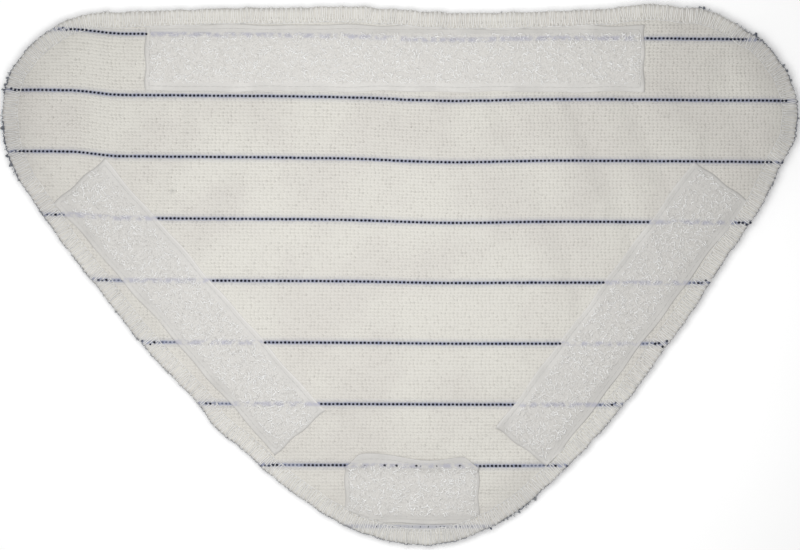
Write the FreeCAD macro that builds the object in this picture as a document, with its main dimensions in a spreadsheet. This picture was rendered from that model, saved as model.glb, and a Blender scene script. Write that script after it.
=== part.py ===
import FreeCAD, Part
import math
import os
import Sketcher
from FreeCAD import Placement, Rotation, Vector

# A washable steam-mop pad, lying on the floor with its fastening side up.
# Millimetres. X runs across the pad, +Y points to its straight back edge, +Z is up.
# The origin is on the floor, below the middle of the pad's bounding box.

SHEET = "Dimensions"

# alias: (value, what it is)
SIZES = {
    # outline: three round corners joined by a straight back edge and two slightly bulging sides
    "left_corner_x": (118.0, "distance of the left corner's centre from the middle"),
    "left_corner_y": (65.0, "height of the left corner's centre above the middle"),
    "left_corner_radius": (42.0, "radius of the left corner"),
    "right_corner_x": (117.0, "distance of the right corner's centre from the middle"),
    "right_corner_y": (65.5, "height of the right corner's centre above the middle"),
    "right_corner_radius": (43.0, "radius of the right corner"),
    "tip_x": (8.0, "sideways offset of the tip's centre"),
    "tip_y": (44.5, "depth of the tip's centre below the middle"),
    "tip_radius": (64.0, "radius of the tip"),
    "left_side_radius": (460.0, "bulge of the left side"),
    "right_side_radius": (510.0, "bulge of the right side"),
    # layers, from the floor up
    "pile_height": (6.0, "standing height of the microfibre pile"),
    "pile_rim": (1.4, "pile squeezed flat inside the overlocked edge"),
    "pile_round": (2.5, "rounding of the pile's lower edge"),
    "cloth_thickness": (0.8, "knitted ground cloth"),
    "tape_thickness": (0.5, "woven base of the loop tape"),
    "nap_height": (1.5, "standing height of the loops on the tape"),
    "thread_thickness": (0.3, "sewing thread laid on the cloth"),
    # stripes
    "stripe_first_y": (96.7, "height of the stripe nearest the back edge"),
    "stripe_pitch": (24.65, "distance between stripes"),
    "stripe_width": (1.2, "width of one stripe yarn"),
    "stripe_depth": (0.4, "depth of one stripe yarn in the cloth"),
    # overlocked edge
    "edge_thread": (0.4, "thread wrapped round the cut edge"),
    "overlock_width": (6.0, "width of the overlocked band"),
    "needle_width": (0.5, "width of the needle thread's line"),
    # loop tapes
    "tape_width": (27.0, "width of every loop tape"),
    "nap_width": (19.2, "width of the looped middle of a tape"),
    "nap_end_gap": (2.8, "bare tape left at each end of the loops"),
    "seam_inset": (1.9, "distance of the seam from the tape's edge"),
    "seam_width": (0.5, "width of the seam's thread"),
    "back_tape_x": (-2.2, "middle of the back tape"),
    "back_tape_y": (88.0, "middle of the back tape"),
    "back_tape_turn": (0.0, "degrees from the X axis"),
    "back_tape_length": (201.0, "cut length"),
    "left_tape_x": (-84.6, "middle of the left tape"),
    "left_tape_y": (-12.2, "middle of the left tape"),
    "left_tape_turn": (-48.7, "degrees from the X axis"),
    "left_tape_length": (135.0, "cut length"),
    "right_tape_x": (89.4, "middle of the right tape"),
    "right_tape_y": (-15.0, "middle of the right tape"),
    "right_tape_turn": (53.4, "degrees from the X axis"),
    "right_tape_length": (134.0, "cut length"),
    "front_tape_x": (5.0, "middle of the front tape"),
    "front_tape_y": (-86.0, "middle of the front tape"),
    "front_tape_turn": (0.0, "degrees from the X axis"),
    "front_tape_length": (54.0, "cut length"),
}

STRIPES = 9
TAPES = ("back", "left", "right", "front")
OVERHANG = 10.0  # how far a stripe's blank and its groove run past the pad before they are trimmed

doc = FreeCAD.newDocument("steam_mop_pad")


def make_sheet():
    """The sheet of driving dimensions: alias, value and meaning, one row each."""
    sheet = doc.addObject("Spreadsheet::Sheet", SHEET)
    for row, (alias, (value, meaning)) in enumerate(SIZES.items(), start=1):
        sheet.set(f"A{row}", alias)
        sheet.set(f"B{row}", str(value))
        sheet.set(f"C{row}", meaning)
        sheet.setAlias(f"B{row}", alias)
    doc.recompute()
    return sheet


def size(*aliases):
    """The sum of the named dimensions, as a number."""
    return sum(SIZES[alias][0] for alias in aliases)


def cell(*aliases):
    """The same sum, as an expression on the sheet."""
    return " + ".join(f"{SHEET}.{alias}" for alias in aliases) or "0"


def new_body(name):
    return doc.addObject("PartDesign::Body", name)


def new_sketch(body, name, level=None):
    """A sketch on the body's own XY plane, lifted to a level given as an expression."""
    sketch = body.newObject("Sketcher::SketchObject", name)
    plane = next(f for f in body.Origin.OriginFeatures if f.Role == "XY_Plane")
    sketch.AttachmentSupport = [(plane, "")]
    sketch.MapMode = "FlatFace"
    if level:
        sketch.setExpression("AttachmentOffset.Base.z", level)
    return sketch


def pad(body, sketch, name, length):
    feature = body.newObject("PartDesign::Pad", name)
    feature.Profile = sketch
    feature.setExpression("Length", length)
    sketch.Visibility = False
    return feature


def constrain(sketch, name, expression, *constraint):
    """A named constraint whose value follows an expression."""
    index = sketch.addConstraint(Sketcher.Constraint(*constraint))
    sketch.renameConstraint(index, name)
    sketch.setExpression(f"Constraints.{name}", expression)


def bulge_centre(first, second, radius, inside):
    """Centre of the circle of this radius that two corner circles touch from within."""
    (start, start_radius), (end, end_radius) = first, second
    chord = end.sub(start)
    reach_start = radius - start_radius
    reach_end = radius - end_radius
    along = (reach_start**2 - reach_end**2 + chord.Length**2) / (2 * chord.Length)
    across = math.sqrt(reach_start**2 - along**2)
    direction = Vector(chord).normalize()
    normal = Vector(-direction.y, direction.x, 0)
    if normal.dot(inside.sub(start)) < 0:
        normal = -normal
    return start + direction * along + normal * across


def angle_of(vector):
    return math.atan2(vector.y, vector.x)


def add_outline(sketch, tag, *inset):
    """The pad's outline, or a parallel one further in by the sum of the inset dimensions."""
    gap = size(*inset)
    right = Vector(size("right_corner_x"), size("right_corner_y"), 0)
    left = Vector(-size("left_corner_x"), size("left_corner_y"), 0)
    tip = Vector(size("tip_x"), -size("tip_y"), 0)
    right_radius = size("right_corner_radius") - gap
    left_radius = size("left_corner_radius") - gap
    tip_radius = size("tip_radius") - gap
    left_bulge = size("left_side_radius") - gap
    right_bulge = size("right_side_radius") - gap
    middle = (right + left + tip) * (1 / 3)
    left_centre = bulge_centre((left, left_radius), (tip, tip_radius), left_bulge, middle)
    right_centre = bulge_centre((tip, tip_radius), (right, right_radius), right_bulge, middle)
    # the back edge is the common tangent of the two back corners
    run = left.sub(right)
    back = angle_of(run) - math.pi / 2 + math.asin((left_radius - right_radius) / run.Length)
    down_left = angle_of(left.sub(left_centre))
    up_left = angle_of(tip.sub(left_centre))
    down_right = angle_of(tip.sub(right_centre))
    up_right = angle_of(right.sub(right_centre))

    def arc(centre, radius, start, end):
        circle = Part.Circle(centre, Vector(0, 0, 1), radius)
        return Part.ArcOfCircle(circle, start, end)

    def on(centre, radius, angle):
        return centre + Vector(math.cos(angle), math.sin(angle), 0) * radius

    back_line = Part.LineSegment(on(right, right_radius, back), on(left, left_radius, back))
    pieces = [
        arc(right, right_radius, up_right, back),
        back_line,
        arc(left, left_radius, back, down_left),
        arc(left_centre, left_bulge, down_left, up_left),
        arc(tip, tip_radius, up_left, down_right),
        arc(right_centre, right_bulge, down_right, up_right),
    ]
    first = sketch.GeometryCount
    sketch.addGeometry(pieces, False)
    for step in range(len(pieces)):
        here = first + step
        after = first + (step + 1) % len(pieces)
        sketch.addConstraint(Sketcher.Constraint("Tangent", here, 2, after, 1))
    trim = f" - ({cell(*inset)})" if inset else ""
    radii = (
        (0, "right_corner_radius", right_radius),
        (2, "left_corner_radius", left_radius),
        (3, "left_side_radius", left_bulge),
        (4, "tip_radius", tip_radius),
        (5, "right_side_radius", right_bulge),
    )
    for step, alias, value in radii:
        constrain(sketch, f"{tag}_{alias}", cell(alias) + trim, "Radius", first + step, value)
    origin = (-1, 1)
    centre_right = (first, 3)
    centre_left = (first + 2, 3)
    centre_tip = (first + 4, 3)
    centres = (
        ("DistanceX", origin, centre_right, "right_corner_x"),
        ("DistanceY", origin, centre_right, "right_corner_y"),
        ("DistanceX", centre_left, origin, "left_corner_x"),
        ("DistanceY", origin, centre_left, "left_corner_y"),
        ("DistanceX", origin, centre_tip, "tip_x"),
        ("DistanceY", centre_tip, origin, "tip_y"),
    )
    for kind, start, end, alias in centres:
        constrain(sketch, f"{tag}_{alias}", cell(alias), kind, *start, *end, size(alias))


def add_rectangle(sketch, tag, length, width, length_rule, width_rule):
    """A rectangle centred on the sketch's origin."""
    x, y = length / 2, width / 2
    corners = [Vector(-x, -y, 0), Vector(x, -y, 0), Vector(x, y, 0), Vector(-x, y, 0)]
    first = sketch.GeometryCount
    lines = [Part.LineSegment(corners[side], corners[(side + 1) % 4]) for side in range(4)]
    sketch.addGeometry(lines, False)
    for side in range(4):
        after = first + (side + 1) % 4
        sketch.addConstraint(Sketcher.Constraint("Coincident", first + side, 2, after, 1))
        kind = "Vertical" if side % 2 else "Horizontal"
        sketch.addConstraint(Sketcher.Constraint(kind, first + side))
    sketch.addConstraint(Sketcher.Constraint("Symmetric", first, 1, first + 2, 1, -1, 1))
    constrain(sketch, f"{tag}_length", length_rule, "DistanceX", first, 1, first, 2, length)
    constrain(sketch, f"{tag}_width", width_rule, "DistanceY", first + 1, 1, first + 1, 2, width)


def outline_body(name, length, *insets):
    """A plate of the pad's outline, or a ring when two insets are given."""
    body = new_body(name)
    sketch = new_sketch(body, f"{name}_outline")
    for tag, inset in zip(("outer", "inner"), insets):
        add_outline(sketch, tag, *inset)
    pad(body, sketch, f"{name}_plate", length)
    return body


def trimmed(blank, field, name):
    """What is left of a blank inside the field's outline."""
    common = doc.addObject("Part::Common", name)
    common.Base = blank
    common.Tool = field
    blank.Visibility = False
    return common


def make_pile():
    """Microfibre pile: full height in the field, squeezed flat under the overlocked edge."""
    body = outline_body("microfibre_pile", cell("pile_height"), ("overlock_width",))
    level = f"{cell('pile_height')} - {cell('pile_rim')}"
    rim = new_sketch(body, "rim_outline", level)
    add_outline(rim, "rim", "edge_thread")
    base = pad(body, rim, "rim_plate", cell("pile_rim"))
    doc.recompute()
    bottom = [
        f"Edge{number}"
        for number, edge in enumerate(base.Shape.Edges, start=1)
        if edge.BoundBox.ZMax < 1e-6
    ]
    rounding = body.newObject("PartDesign::Fillet", "lower_edge_rounding")
    rounding.Base = (base, bottom)
    rounding.setExpression("Radius", cell("pile_round"))
    return body


def make_cloth():
    """Knitted ground cloth with a shallow groove for each stripe yarn."""
    body = outline_body("ground_cloth", cell("cloth_thickness"), ("edge_thread",))
    body.setExpression("Placement.Base.z", cell("pile_height"))
    doc.recompute()
    plain = body.Shape.Volume
    sketch = new_sketch(body, "groove_outline", cell("cloth_thickness"))
    length = 2 * (size("right_corner_x", "right_corner_radius") + OVERHANG)
    width_rule = cell("stripe_width")
    add_rectangle(sketch, "groove", length, size("stripe_width"), str(length), width_rule)
    sketch.setExpression("AttachmentOffset.Base.y", cell("stripe_first_y"))
    groove = body.newObject("PartDesign::Pocket", "stripe_groove")
    groove.Profile = sketch
    groove.setExpression("Length", cell("stripe_depth"))
    sketch.Visibility = False
    rows = body.newObject("PartDesign::LinearPattern", "stripe_grooves")
    rows.Originals = [groove]
    rows.Direction = (sketch, ["V_Axis"])
    rows.Reversed = True
    rows.Occurrences = STRIPES
    rows.setExpression("Length", f"{cell('stripe_pitch')} * {STRIPES - 1}")
    body.Tip = rows
    doc.recompute()
    print(f"grooves take {plain - body.Shape.Volume:.0f} mm3 out of the ground cloth")
    return body


def make_stripe(number, field):
    """One dark stripe yarn, stitched through the cloth from edge to edge."""
    blank = doc.addObject("Part::Box", f"stripe_blank_{number}")
    reach = size("right_corner_x", "right_corner_radius") + OVERHANG
    blank.Length = 2 * reach
    blank.Placement.Base.x = -reach
    blank.setExpression("Width", cell("stripe_width"))
    blank.setExpression("Height", cell("stripe_depth"))
    row = f"{cell('stripe_first_y')} - {number - 1} * {cell('stripe_pitch')}"
    blank.setExpression("Placement.Base.y", f"{row} - {cell('stripe_width')} / 2")
    top = cell("pile_height", "cloth_thickness")
    blank.setExpression("Placement.Base.z", f"{top} - {cell('stripe_depth')}")
    return trimmed(blank, field, f"stripe_yarn_{number}")


def place_on_tape(body, tape, level):
    """Moves a body to the middle of a tape, turned along it, at a level."""
    body.Placement = Placement(Vector(0, 0, 0), Rotation(Vector(0, 0, 1), 1))
    body.setExpression("Placement.Base.x", cell(f"{tape}_tape_x"))
    body.setExpression("Placement.Base.y", cell(f"{tape}_tape_y"))
    body.setExpression("Placement.Base.z", level)
    body.setExpression("Placement.Rotation.Angle", cell(f"{tape}_tape_turn"))


def rectangle_on_tape(sketch, tag, tape, end_gap, side_gap):
    """A rectangle on a tape, in from its ends and its sides by two named or summed gaps."""
    long_side = f"{tape}_tape_length"
    length = size(long_side) - 2 * size(*end_gap)
    width = size("tape_width") - 2 * size(*side_gap)
    length_rule = f"{cell(long_side)} - 2 * ({cell(*end_gap)})"
    width_rule = f"{cell('tape_width')} - 2 * ({cell(*side_gap)})"
    add_rectangle(sketch, tag, length, width, length_rule, width_rule)


def make_tape_base(tape):
    """The flat woven base of a loop tape."""
    body = new_body(f"{tape}_tape_blank")
    sketch = new_sketch(body, f"{tape}_tape_outline")
    rectangle_on_tape(sketch, "tape", tape, (), ())
    pad(body, sketch, f"{tape}_tape_plate", cell("tape_thickness"))
    place_on_tape(body, tape, cell("pile_height", "cloth_thickness"))
    return body


def make_nap(tape):
    """The field of loops that stands on the middle of a tape."""
    body = new_body(f"{tape}_nap_blank")
    sketch = new_sketch(body, f"{tape}_nap_outline")
    length = size(f"{tape}_tape_length") - 2 * size("nap_end_gap")
    length_rule = f"{cell(f'{tape}_tape_length')} - 2 * {cell('nap_end_gap')}"
    add_rectangle(sketch, "nap", length, size("nap_width"), length_rule, cell("nap_width"))
    pad(body, sketch, f"{tape}_nap_block", cell("nap_height"))
    place_on_tape(body, tape, cell("pile_height", "cloth_thickness", "tape_thickness"))
    return body


def make_seam(tape):
    """The thread that sews a tape down, all the way round its loops."""
    body = new_body(f"{tape}_seam_blank")
    sketch = new_sketch(body, f"{tape}_seam_outline")
    outer = ("seam_inset",)
    inner = ("seam_inset", "seam_width")
    rectangle_on_tape(sketch, "outer", tape, outer, outer)
    rectangle_on_tape(sketch, "inner", tape, inner, inner)
    pad(body, sketch, f"{tape}_seam_thread", cell("thread_thickness"))
    place_on_tape(body, tape, cell("pile_height", "cloth_thickness", "tape_thickness"))
    return body


def make_looper(name, level, wall_level, wall_height):
    """A looper thread: a flat band of stitches and the wall that it wraps round the cut edge."""
    body = outline_body(name, cell("thread_thickness"), (), ("overlock_width",))
    wall = new_sketch(body, f"{name}_wall_outline", f"{wall_level} - ({level})")
    add_outline(wall, "outer")
    add_outline(wall, "inner", "edge_thread")
    pad(body, wall, f"{name}_wall", wall_height)
    body.setExpression("Placement.Base.z", level)
    return body


def make_overlock():
    """The three threads of the overlocked edge."""
    top = cell("pile_height", "cloth_thickness")
    under = f"{cell('pile_height')} - {cell('pile_rim')}"
    needle = outline_body(
        "overlock_needle_thread",
        cell("thread_thickness"),
        ("overlock_width",),
        ("overlock_width", "needle_width"),
    )
    needle.setExpression("Placement.Base.z", top)
    upper = make_looper(
        "overlock_upper_looper_thread", top, cell("pile_height"), cell("cloth_thickness")
    )
    lower = make_looper(
        "overlock_lower_looper_thread",
        f"{under} - {cell('thread_thickness')}",
        under,
        cell("pile_rim"),
    )
    return [needle, upper, lower]


def main():
    make_sheet()
    parts = [make_pile(), make_cloth()]
    whole = outline_body("whole_field", cell("pile_height", "cloth_thickness"), ("edge_thread",))
    for number in range(1, STRIPES + 1):
        parts.append(make_stripe(number, whole))
    inner_height = cell("pile_height", "cloth_thickness", "tape_thickness", "nap_height")
    inner = outline_body("sewn_field", inner_height, ("overlock_width", "needle_width"))
    for tape in TAPES:
        parts.append(trimmed(make_tape_base(tape), inner, f"{tape}_loop_tape"))
        parts.append(trimmed(make_nap(tape), inner, f"{tape}_loop_nap"))
        parts.append(trimmed(make_seam(tape), inner, f"{tape}_tape_seam"))
    parts += make_overlock()
    doc.recompute()
    export(parts)


def export(parts):
    """Writes one STEP file for each sub-part, once every object of the document is sound."""
    for item in doc.Objects:
        if "Invalid" in item.State or "Error" in item.State:
            raise RuntimeError(f"{item.Name} failed: {item.State}")
    for item in parts:
        item.Label = item.Name
        if item.Shape.isNull() or not item.Shape.isValid():
            raise RuntimeError(f"{item.Label} has no sound shape")
    os.makedirs("parts", exist_ok=True)
    for item in parts:
        item.Shape.exportStep(f"parts/{item.Label}.step")
        solids = len(item.Shape.Solids)
        print(f"{item.Label}: {solids} solid(s), {item.Shape.Volume:.0f} mm3")
    box = FreeCAD.BoundBox()
    for item in parts:
        box.add(item.Shape.optimalBoundingBox(False))
    print(f"X {box.XMin:.2f} to {box.XMax:.2f}, Y {box.YMin:.2f} to {box.YMax:.2f}, Z to {box.ZMax:.2f}")


main()
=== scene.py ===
# %% [markdown]
# # The washable pad of a triangular steam mop
# The pad lies on its pile with the fastening side up. It is a knitted cloth with a microfibre pile
# on its far side, dark stripes knitted through it, four strips of loop tape and an overlocked edge.
# Everything here is thread, so nearly every piece is made of real loops and stitches.
#
# The way of working is a tailor's: each piece is first made flat, in its place on the pattern,
# and one function then lays the whole pad down, with its puckers and its soft sagging edge.

# %% Load the packed frame
import math

import bpy
import numpy as np
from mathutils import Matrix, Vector, geometry, kdtree, noise


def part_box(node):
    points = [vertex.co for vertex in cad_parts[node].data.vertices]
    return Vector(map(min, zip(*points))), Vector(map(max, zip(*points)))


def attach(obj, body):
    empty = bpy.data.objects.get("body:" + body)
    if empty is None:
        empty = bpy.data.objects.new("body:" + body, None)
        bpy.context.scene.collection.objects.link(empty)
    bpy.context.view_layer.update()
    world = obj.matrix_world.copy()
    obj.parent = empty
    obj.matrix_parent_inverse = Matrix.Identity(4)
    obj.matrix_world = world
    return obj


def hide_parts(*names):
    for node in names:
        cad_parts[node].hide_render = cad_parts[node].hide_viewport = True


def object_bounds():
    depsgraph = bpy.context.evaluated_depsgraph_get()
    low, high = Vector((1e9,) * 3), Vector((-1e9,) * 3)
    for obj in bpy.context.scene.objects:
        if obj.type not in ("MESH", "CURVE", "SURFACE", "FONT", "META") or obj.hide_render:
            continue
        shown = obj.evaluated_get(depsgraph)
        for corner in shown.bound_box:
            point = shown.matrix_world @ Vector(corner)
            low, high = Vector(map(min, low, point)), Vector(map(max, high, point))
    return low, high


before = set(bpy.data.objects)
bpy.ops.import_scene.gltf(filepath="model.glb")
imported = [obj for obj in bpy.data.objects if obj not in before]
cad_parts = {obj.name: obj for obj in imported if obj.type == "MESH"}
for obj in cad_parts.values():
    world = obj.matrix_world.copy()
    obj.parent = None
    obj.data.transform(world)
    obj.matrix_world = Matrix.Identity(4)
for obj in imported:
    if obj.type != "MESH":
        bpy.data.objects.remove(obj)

scene = bpy.context.scene
MM = 0.001
cad_low, cad_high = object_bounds()
CLOTH_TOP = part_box("ground_cloth")[1].z
CLOTH_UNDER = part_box("ground_cloth")[0].z
TAPE_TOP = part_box("back_loop_tape")[1].z
RIM_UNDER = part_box("overlock_lower_looper_thread")[0].z
STRIPES = 9
TAPES = ("back", "left", "right", "front")

# %% [markdown]
# ## Camera, floor and light
# The pad is seen from straight above through a long lens, so its outline keeps its true shape. A
# camera without perspective would do the same, but a lens still shows a little of the depth.
# The pad lies on a white light table in a white room. One soft light hangs low over its middle, so
# the corners fall off a little darker, and one small bright lamp gives the shiny nylon its glints.

# %% Camera
LENS = 85.0
SENSOR = 36.0
VIEW_WIDTH = 321.6 * MM
VIEW_CENTRE_Y = 0.8 * MM
camera = bpy.data.objects.new("camera", bpy.data.cameras.new("camera"))
camera.data.lens = LENS
camera.data.sensor_width = SENSOR
camera.location = (0, VIEW_CENTRE_Y, CLOTH_TOP + VIEW_WIDTH * LENS / SENSOR)
scene.collection.objects.link(camera)
scene.camera = camera
print(f"camera {camera.location.z:.2f} m up, with {VIEW_WIDTH / MM:.0f} mm of the cloth across its view")

# %% A class that makes node trees readable


class Wire:
    """An output socket of a node tree. Arithmetic on it adds Math nodes."""

    def __init__(self, tree, socket=None):
        self.tree = tree
        self.socket = socket

    def add(self, kind, settings=None, inputs=None, output=0):
        """A new node: its settings first, then a value or a link for each input socket."""
        node = self.tree.nodes.new(kind)
        for name, value in (settings or {}).items():
            setattr(node, name, value)
        for name, value in (inputs or {}).items():
            if isinstance(value, Wire):
                self.tree.links.new(value.socket, node.inputs[name])
            else:
                node.inputs[name].default_value = value
        return Wire(self.tree, node.outputs[output] if node.outputs else None)

    def math(self, operation, first, second=0.0):
        settings = {"operation": operation}
        return self.add("ShaderNodeMath", settings, {0: first, 1: second})

    def vector(self, operation, other, output=0):
        settings = {"operation": operation}
        return self.add("ShaderNodeVectorMath", settings, {0: self, 1: other}, output)

    def __add__(self, other):
        return self.math("ADD", self, other)

    def __radd__(self, other):
        return self.math("ADD", other, self)

    def __sub__(self, other):
        return self.math("SUBTRACT", self, other)

    def __rsub__(self, other):
        return self.math("SUBTRACT", other, self)

    def __mul__(self, other):
        return self.math("MULTIPLY", self, other)

    def __rmul__(self, other):
        return self.math("MULTIPLY", other, self)

    def sine(self):
        return self.math("SINE", self)

    def whole(self):
        """The nearest whole number."""
        return self.math("ROUND", self)

    def distance(self):
        """The number without its sign."""
        return self.math("ABSOLUTE", self)

    def between(self, low, high):
        """0 below low, 1 above high and smooth between."""
        settings = {"interpolation_type": "SMOOTHSTEP"}
        inputs = {"Value": self, "From Min": low, "From Max": high}
        return self.add("ShaderNodeMapRange", settings, inputs)

    def mix(self, first, second):
        """The first colour where this wire is 0, the second where it is 1."""
        settings = {"data_type": "RGBA"}
        return self.add("ShaderNodeMix", settings, {0: self, 6: first, 7: second}, output=2)

    def noise(self, size, detail=2.0, roughness=0.5, stretch=(1, 1, 1)):
        """Noise from 0 to 1 on the object's own coordinates, with blotches of about this size."""
        place = self.add("ShaderNodeTexCoord", output="Object")
        scaled = self.add(
            "ShaderNodeVectorMath",
            {"operation": "MULTIPLY"},
            {0: place, 1: [1 / (size * s) for s in stretch]},
        )
        inputs = {"Vector": scaled, "Scale": 1.0, "Detail": detail, "Roughness": roughness}
        return self.add("ShaderNodeTexNoise", None, inputs)

    def attribute(self, name):
        """A number stored on the mesh."""
        return self.add("ShaderNodeAttribute", {"attribute_name": name}, output="Fac")

    def bump(self, height, distance, strength=1.0):
        inputs = {"Height": height, "Distance": distance, "Strength": strength}
        return self.add("ShaderNodeBump", None, inputs)


def new_material(name):
    """An empty material and the wire that starts its tree."""
    material = bpy.data.materials.new(name)
    material.use_nodes = True
    material.node_tree.nodes.clear()
    print(f"finish: {name}")
    return material, Wire(material.node_tree)


def finish_material(start, base, roughness, specular, normal=None, sheen=(0.0, 0.5), glow=0.0):
    """Ends a tree with the main shader. The sheen is given as its weight and its roughness."""
    inputs = {
        "Base Color": base,
        "Roughness": roughness,
        "Specular IOR Level": specular,
        "Sheen Weight": sheen[0],
        "Sheen Roughness": sheen[1],
        "Emission Strength": glow,
    }
    if normal is not None:
        inputs["Normal"] = normal
    shader = start.add("ShaderNodeBsdfPrincipled", None, inputs)
    start.add("ShaderNodeOutputMaterial", None, {"Surface": shader})


print("node trees are written as sums on wires:", Wire.__doc__)

# %% Floor, light and world
FLOOR_SIZE = 6.0
TABLE_GLOW = 0.2
ROOM_GLOW = 0.438


def make_floor():
    """A wide white table top, which glows a little as if lit from below."""
    half = FLOOR_SIZE / 2
    mesh = bpy.data.meshes.new("table_top")
    corners = [(-half, -half, 0), (half, -half, 0), (half, half, 0), (-half, half, 0)]
    mesh.from_pydata(corners, [], [(0, 1, 2, 3)])
    floor = bpy.data.objects.new("table_top", mesh)
    scene.collection.objects.link(floor)
    material, start = new_material("white_table")
    grain = start.noise(40 * MM, detail=3.0)
    white = grain.mix((0.93, 0.93, 0.93, 1), (0.95, 0.95, 0.95, 1))
    finish_material(start, white, roughness=0.8, specular=0.1, glow=TABLE_GLOW)
    mesh.materials.append(material)


def add_area_light(name, place, size, power):
    """A square soft light that looks at the middle of the pad and is out of the camera's sight."""
    light = bpy.data.objects.new(name, bpy.data.lights.new(name, "AREA"))
    light.data.size = size
    light.data.energy = power
    light.location = place
    light.rotation_euler = (-Vector(place)).to_track_quat("-Z", "Y").to_euler()
    light.visible_camera = False
    scene.collection.objects.link(light)
    print(f"{name} light: {size / MM:.0f} mm wide, {place[2]:.2f} m up")


def make_world():
    """Even white light from all round."""
    world = bpy.data.worlds.new("white_room")
    scene.world = world
    world.use_nodes = True
    backdrop = world.node_tree.nodes["Background"]
    backdrop.inputs["Color"].default_value = (1, 1, 1, 1)
    backdrop.inputs["Strength"].default_value = ROOM_GLOW


make_floor()
make_world()
add_area_light("overhead", place=(-0.027, 0.006, 0.3), size=0.2, power=0.62)
add_area_light("spark", place=(-0.1, 0.09, 0.55), size=0.015, power=0.2)
scene.view_settings.view_transform = "Standard"

# %% [markdown]
# ## The outline
# The outline comes from the frame: three round corners, a straight back edge and two slightly
# bulging sides. Drawn afresh as a curve it could drift away from the CAD part, so only what the
# part leaves out is added here. A real sewn edge wanders a millimetre or two from its pattern, so
# a few soft swellings are added, each given by its place, how far out it goes and how long
# it is. The result is a closed line of evenly spaced points, with the outward direction at each.

# %% The line of the cut edge
RIM_STEP = 0.5 * MM
RIM_SMOOTHING = 4
WANDER = (  # place x, place y, outwards, half length, all in millimetres
    (100, 108, 1.7, 11),
    (52, 108, -1.1, 26),
    (22, 108, -1.2, 20),
    (-24, 107, 1.4, 20),
    (-64, 107, 0.9, 20),
    (-119, 107, -0.7, 15),
    (139, 103, -2.3, 12),
    (153, 89, -1.0, 12),
    (160, 70, 0.3, 14),
    (-143, 99, -0.5, 12),
    (-158, 79, 0.5, 10),
    (-152, 39, 1.6, 15),
    (-138, 18, 0.7, 15),
    (-120, -8, -0.4, 15),
    (-88, -46, -0.6, 14),
    (-73, -61, 1.7, 7),
    (-50, -80, 1.0, 20),
    (-12, -106, -1.0, 22),
    (37, -102, -0.8, 16),
    (76, -68, 0.6, 26),
    (108, -30, -0.9, 14),
    (130, 2, -1.8, 24),
    (154, 44, -1.3, 9),
)
FINE_WANDER = (  # height in millimetres, waves round the pad and phase
    (0.12, 57, 1.0),
    (0.1, 91, 0.0),
)


def bell(value, middle, half):
    """1 at the middle, falling softly to about a third one half length away."""
    return np.exp(-(((value - middle) / half) ** 2))


def even_points(corners, step):
    """A closed line through the corners, as evenly spaced points about a step apart."""
    closed = np.vstack([corners, corners[:1]])
    run = np.concatenate([[0], np.cumsum(np.linalg.norm(np.diff(closed, axis=0), axis=1))])
    count = int(round(run[-1] / step))
    at = np.arange(count) * run[-1] / count
    return np.stack([np.interp(at, run, closed[:, axis]) for axis in range(2)], axis=1)


def blurred(values, reach):
    """A closed row of values, smoothed over a few neighbours."""
    kernel = np.hanning(2 * reach + 1)
    kernel /= kernel.sum()
    padded = np.concatenate([values[-reach:], values, values[:reach]])
    return np.convolve(padded, kernel, "valid")


def outward(points):
    """The outward direction at each point of a closed, anticlockwise line."""
    ahead = np.roll(points, -1, axis=0) - np.roll(points, 1, axis=0)
    ahead /= np.linalg.norm(ahead, axis=1)[:, None]
    return np.stack([ahead[:, 1], -ahead[:, 0]], axis=1)


def cut_edge():
    """The pattern's outline with its wander, as evenly spaced points."""
    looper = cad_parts["overlock_upper_looper_thread"].data
    flat = [Vector(vertex.co[:2]) for vertex in looper.vertices]
    hull = np.array([flat[index] for index in geometry.convex_hull_2d(flat)])
    ideal = even_points(hull, RIM_STEP)
    area = np.cross(ideal, np.roll(ideal, -1, axis=0)).sum()
    ideal = ideal if area > 0 else ideal[::-1]
    shift = np.zeros(len(ideal))
    for x, y, out, half in WANDER:
        away = np.linalg.norm(ideal - np.array([x, y]) * MM, axis=1)
        shift += out * MM * bell(away, 0, half * MM)
    turn = np.arange(len(ideal)) / len(ideal) * math.tau
    shift += sum(height * MM * np.sin(waves * turn + phase) for height, waves, phase in FINE_WANDER)
    moved = ideal + outward(ideal) * shift[:, None]
    smooth = np.stack([blurred(moved[:, axis], RIM_SMOOTHING) for axis in range(2)], axis=1)
    return even_points(smooth, RIM_STEP)


RIM = cut_edge()
RIM_OUT = outward(RIM)
RIM_LENGTH = len(RIM) * np.linalg.norm(RIM[1] - RIM[0])
rim_tree = kdtree.KDTree(len(RIM))
for index, point in enumerate(RIM):
    rim_tree.insert((*point, 0), index)
rim_tree.balance()
print(f"cut edge: {RIM_LENGTH / MM:.0f} mm round, {len(RIM)} points")


def rim_place(along, inset):
    """Places at a distance along the edge and a distance in from it, as rows of x and y."""
    at = np.asarray(along) / RIM_LENGTH * len(RIM)
    low = np.floor(at).astype(int)
    share = (at - low)[:, None]
    point = RIM[low % len(RIM)] * (1 - share) + RIM[(low + 1) % len(RIM)] * share
    out = RIM_OUT[low % len(RIM)] * (1 - share) + RIM_OUT[(low + 1) % len(RIM)] * share
    return point - out * np.asarray(inset)[:, None]


# %% Where the edge is worn, and where shade is painted on it
# In these places the edge is frayed, and its grey is partly wear and partly painted shade.
WORN_AND_SHADED_PLACES = (  # place x, place y, half length in millimetres, and how worn
    (-159, 78, 14, 0.9),
    (-160, 56, 12, 1.0),
    (-155, 46, 9, 0.9),
    (-144, 26, 10, 0.5),
    (-150, 94, 14, 0.4),
    (122, 109, 10, 0.7),
    (142, 100, 13, 0.7),
    (154, 84, 12, 0.7),
    (160, 62, 14, 0.6),
    (155, 38, 12, 0.7),
    (-108, -22, 12, 0.4),
    (52, -95, 14, 0.7),
    (20, -107, 10, 0.5),
    (-4, -107, 26, 0.35),
)


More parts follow.
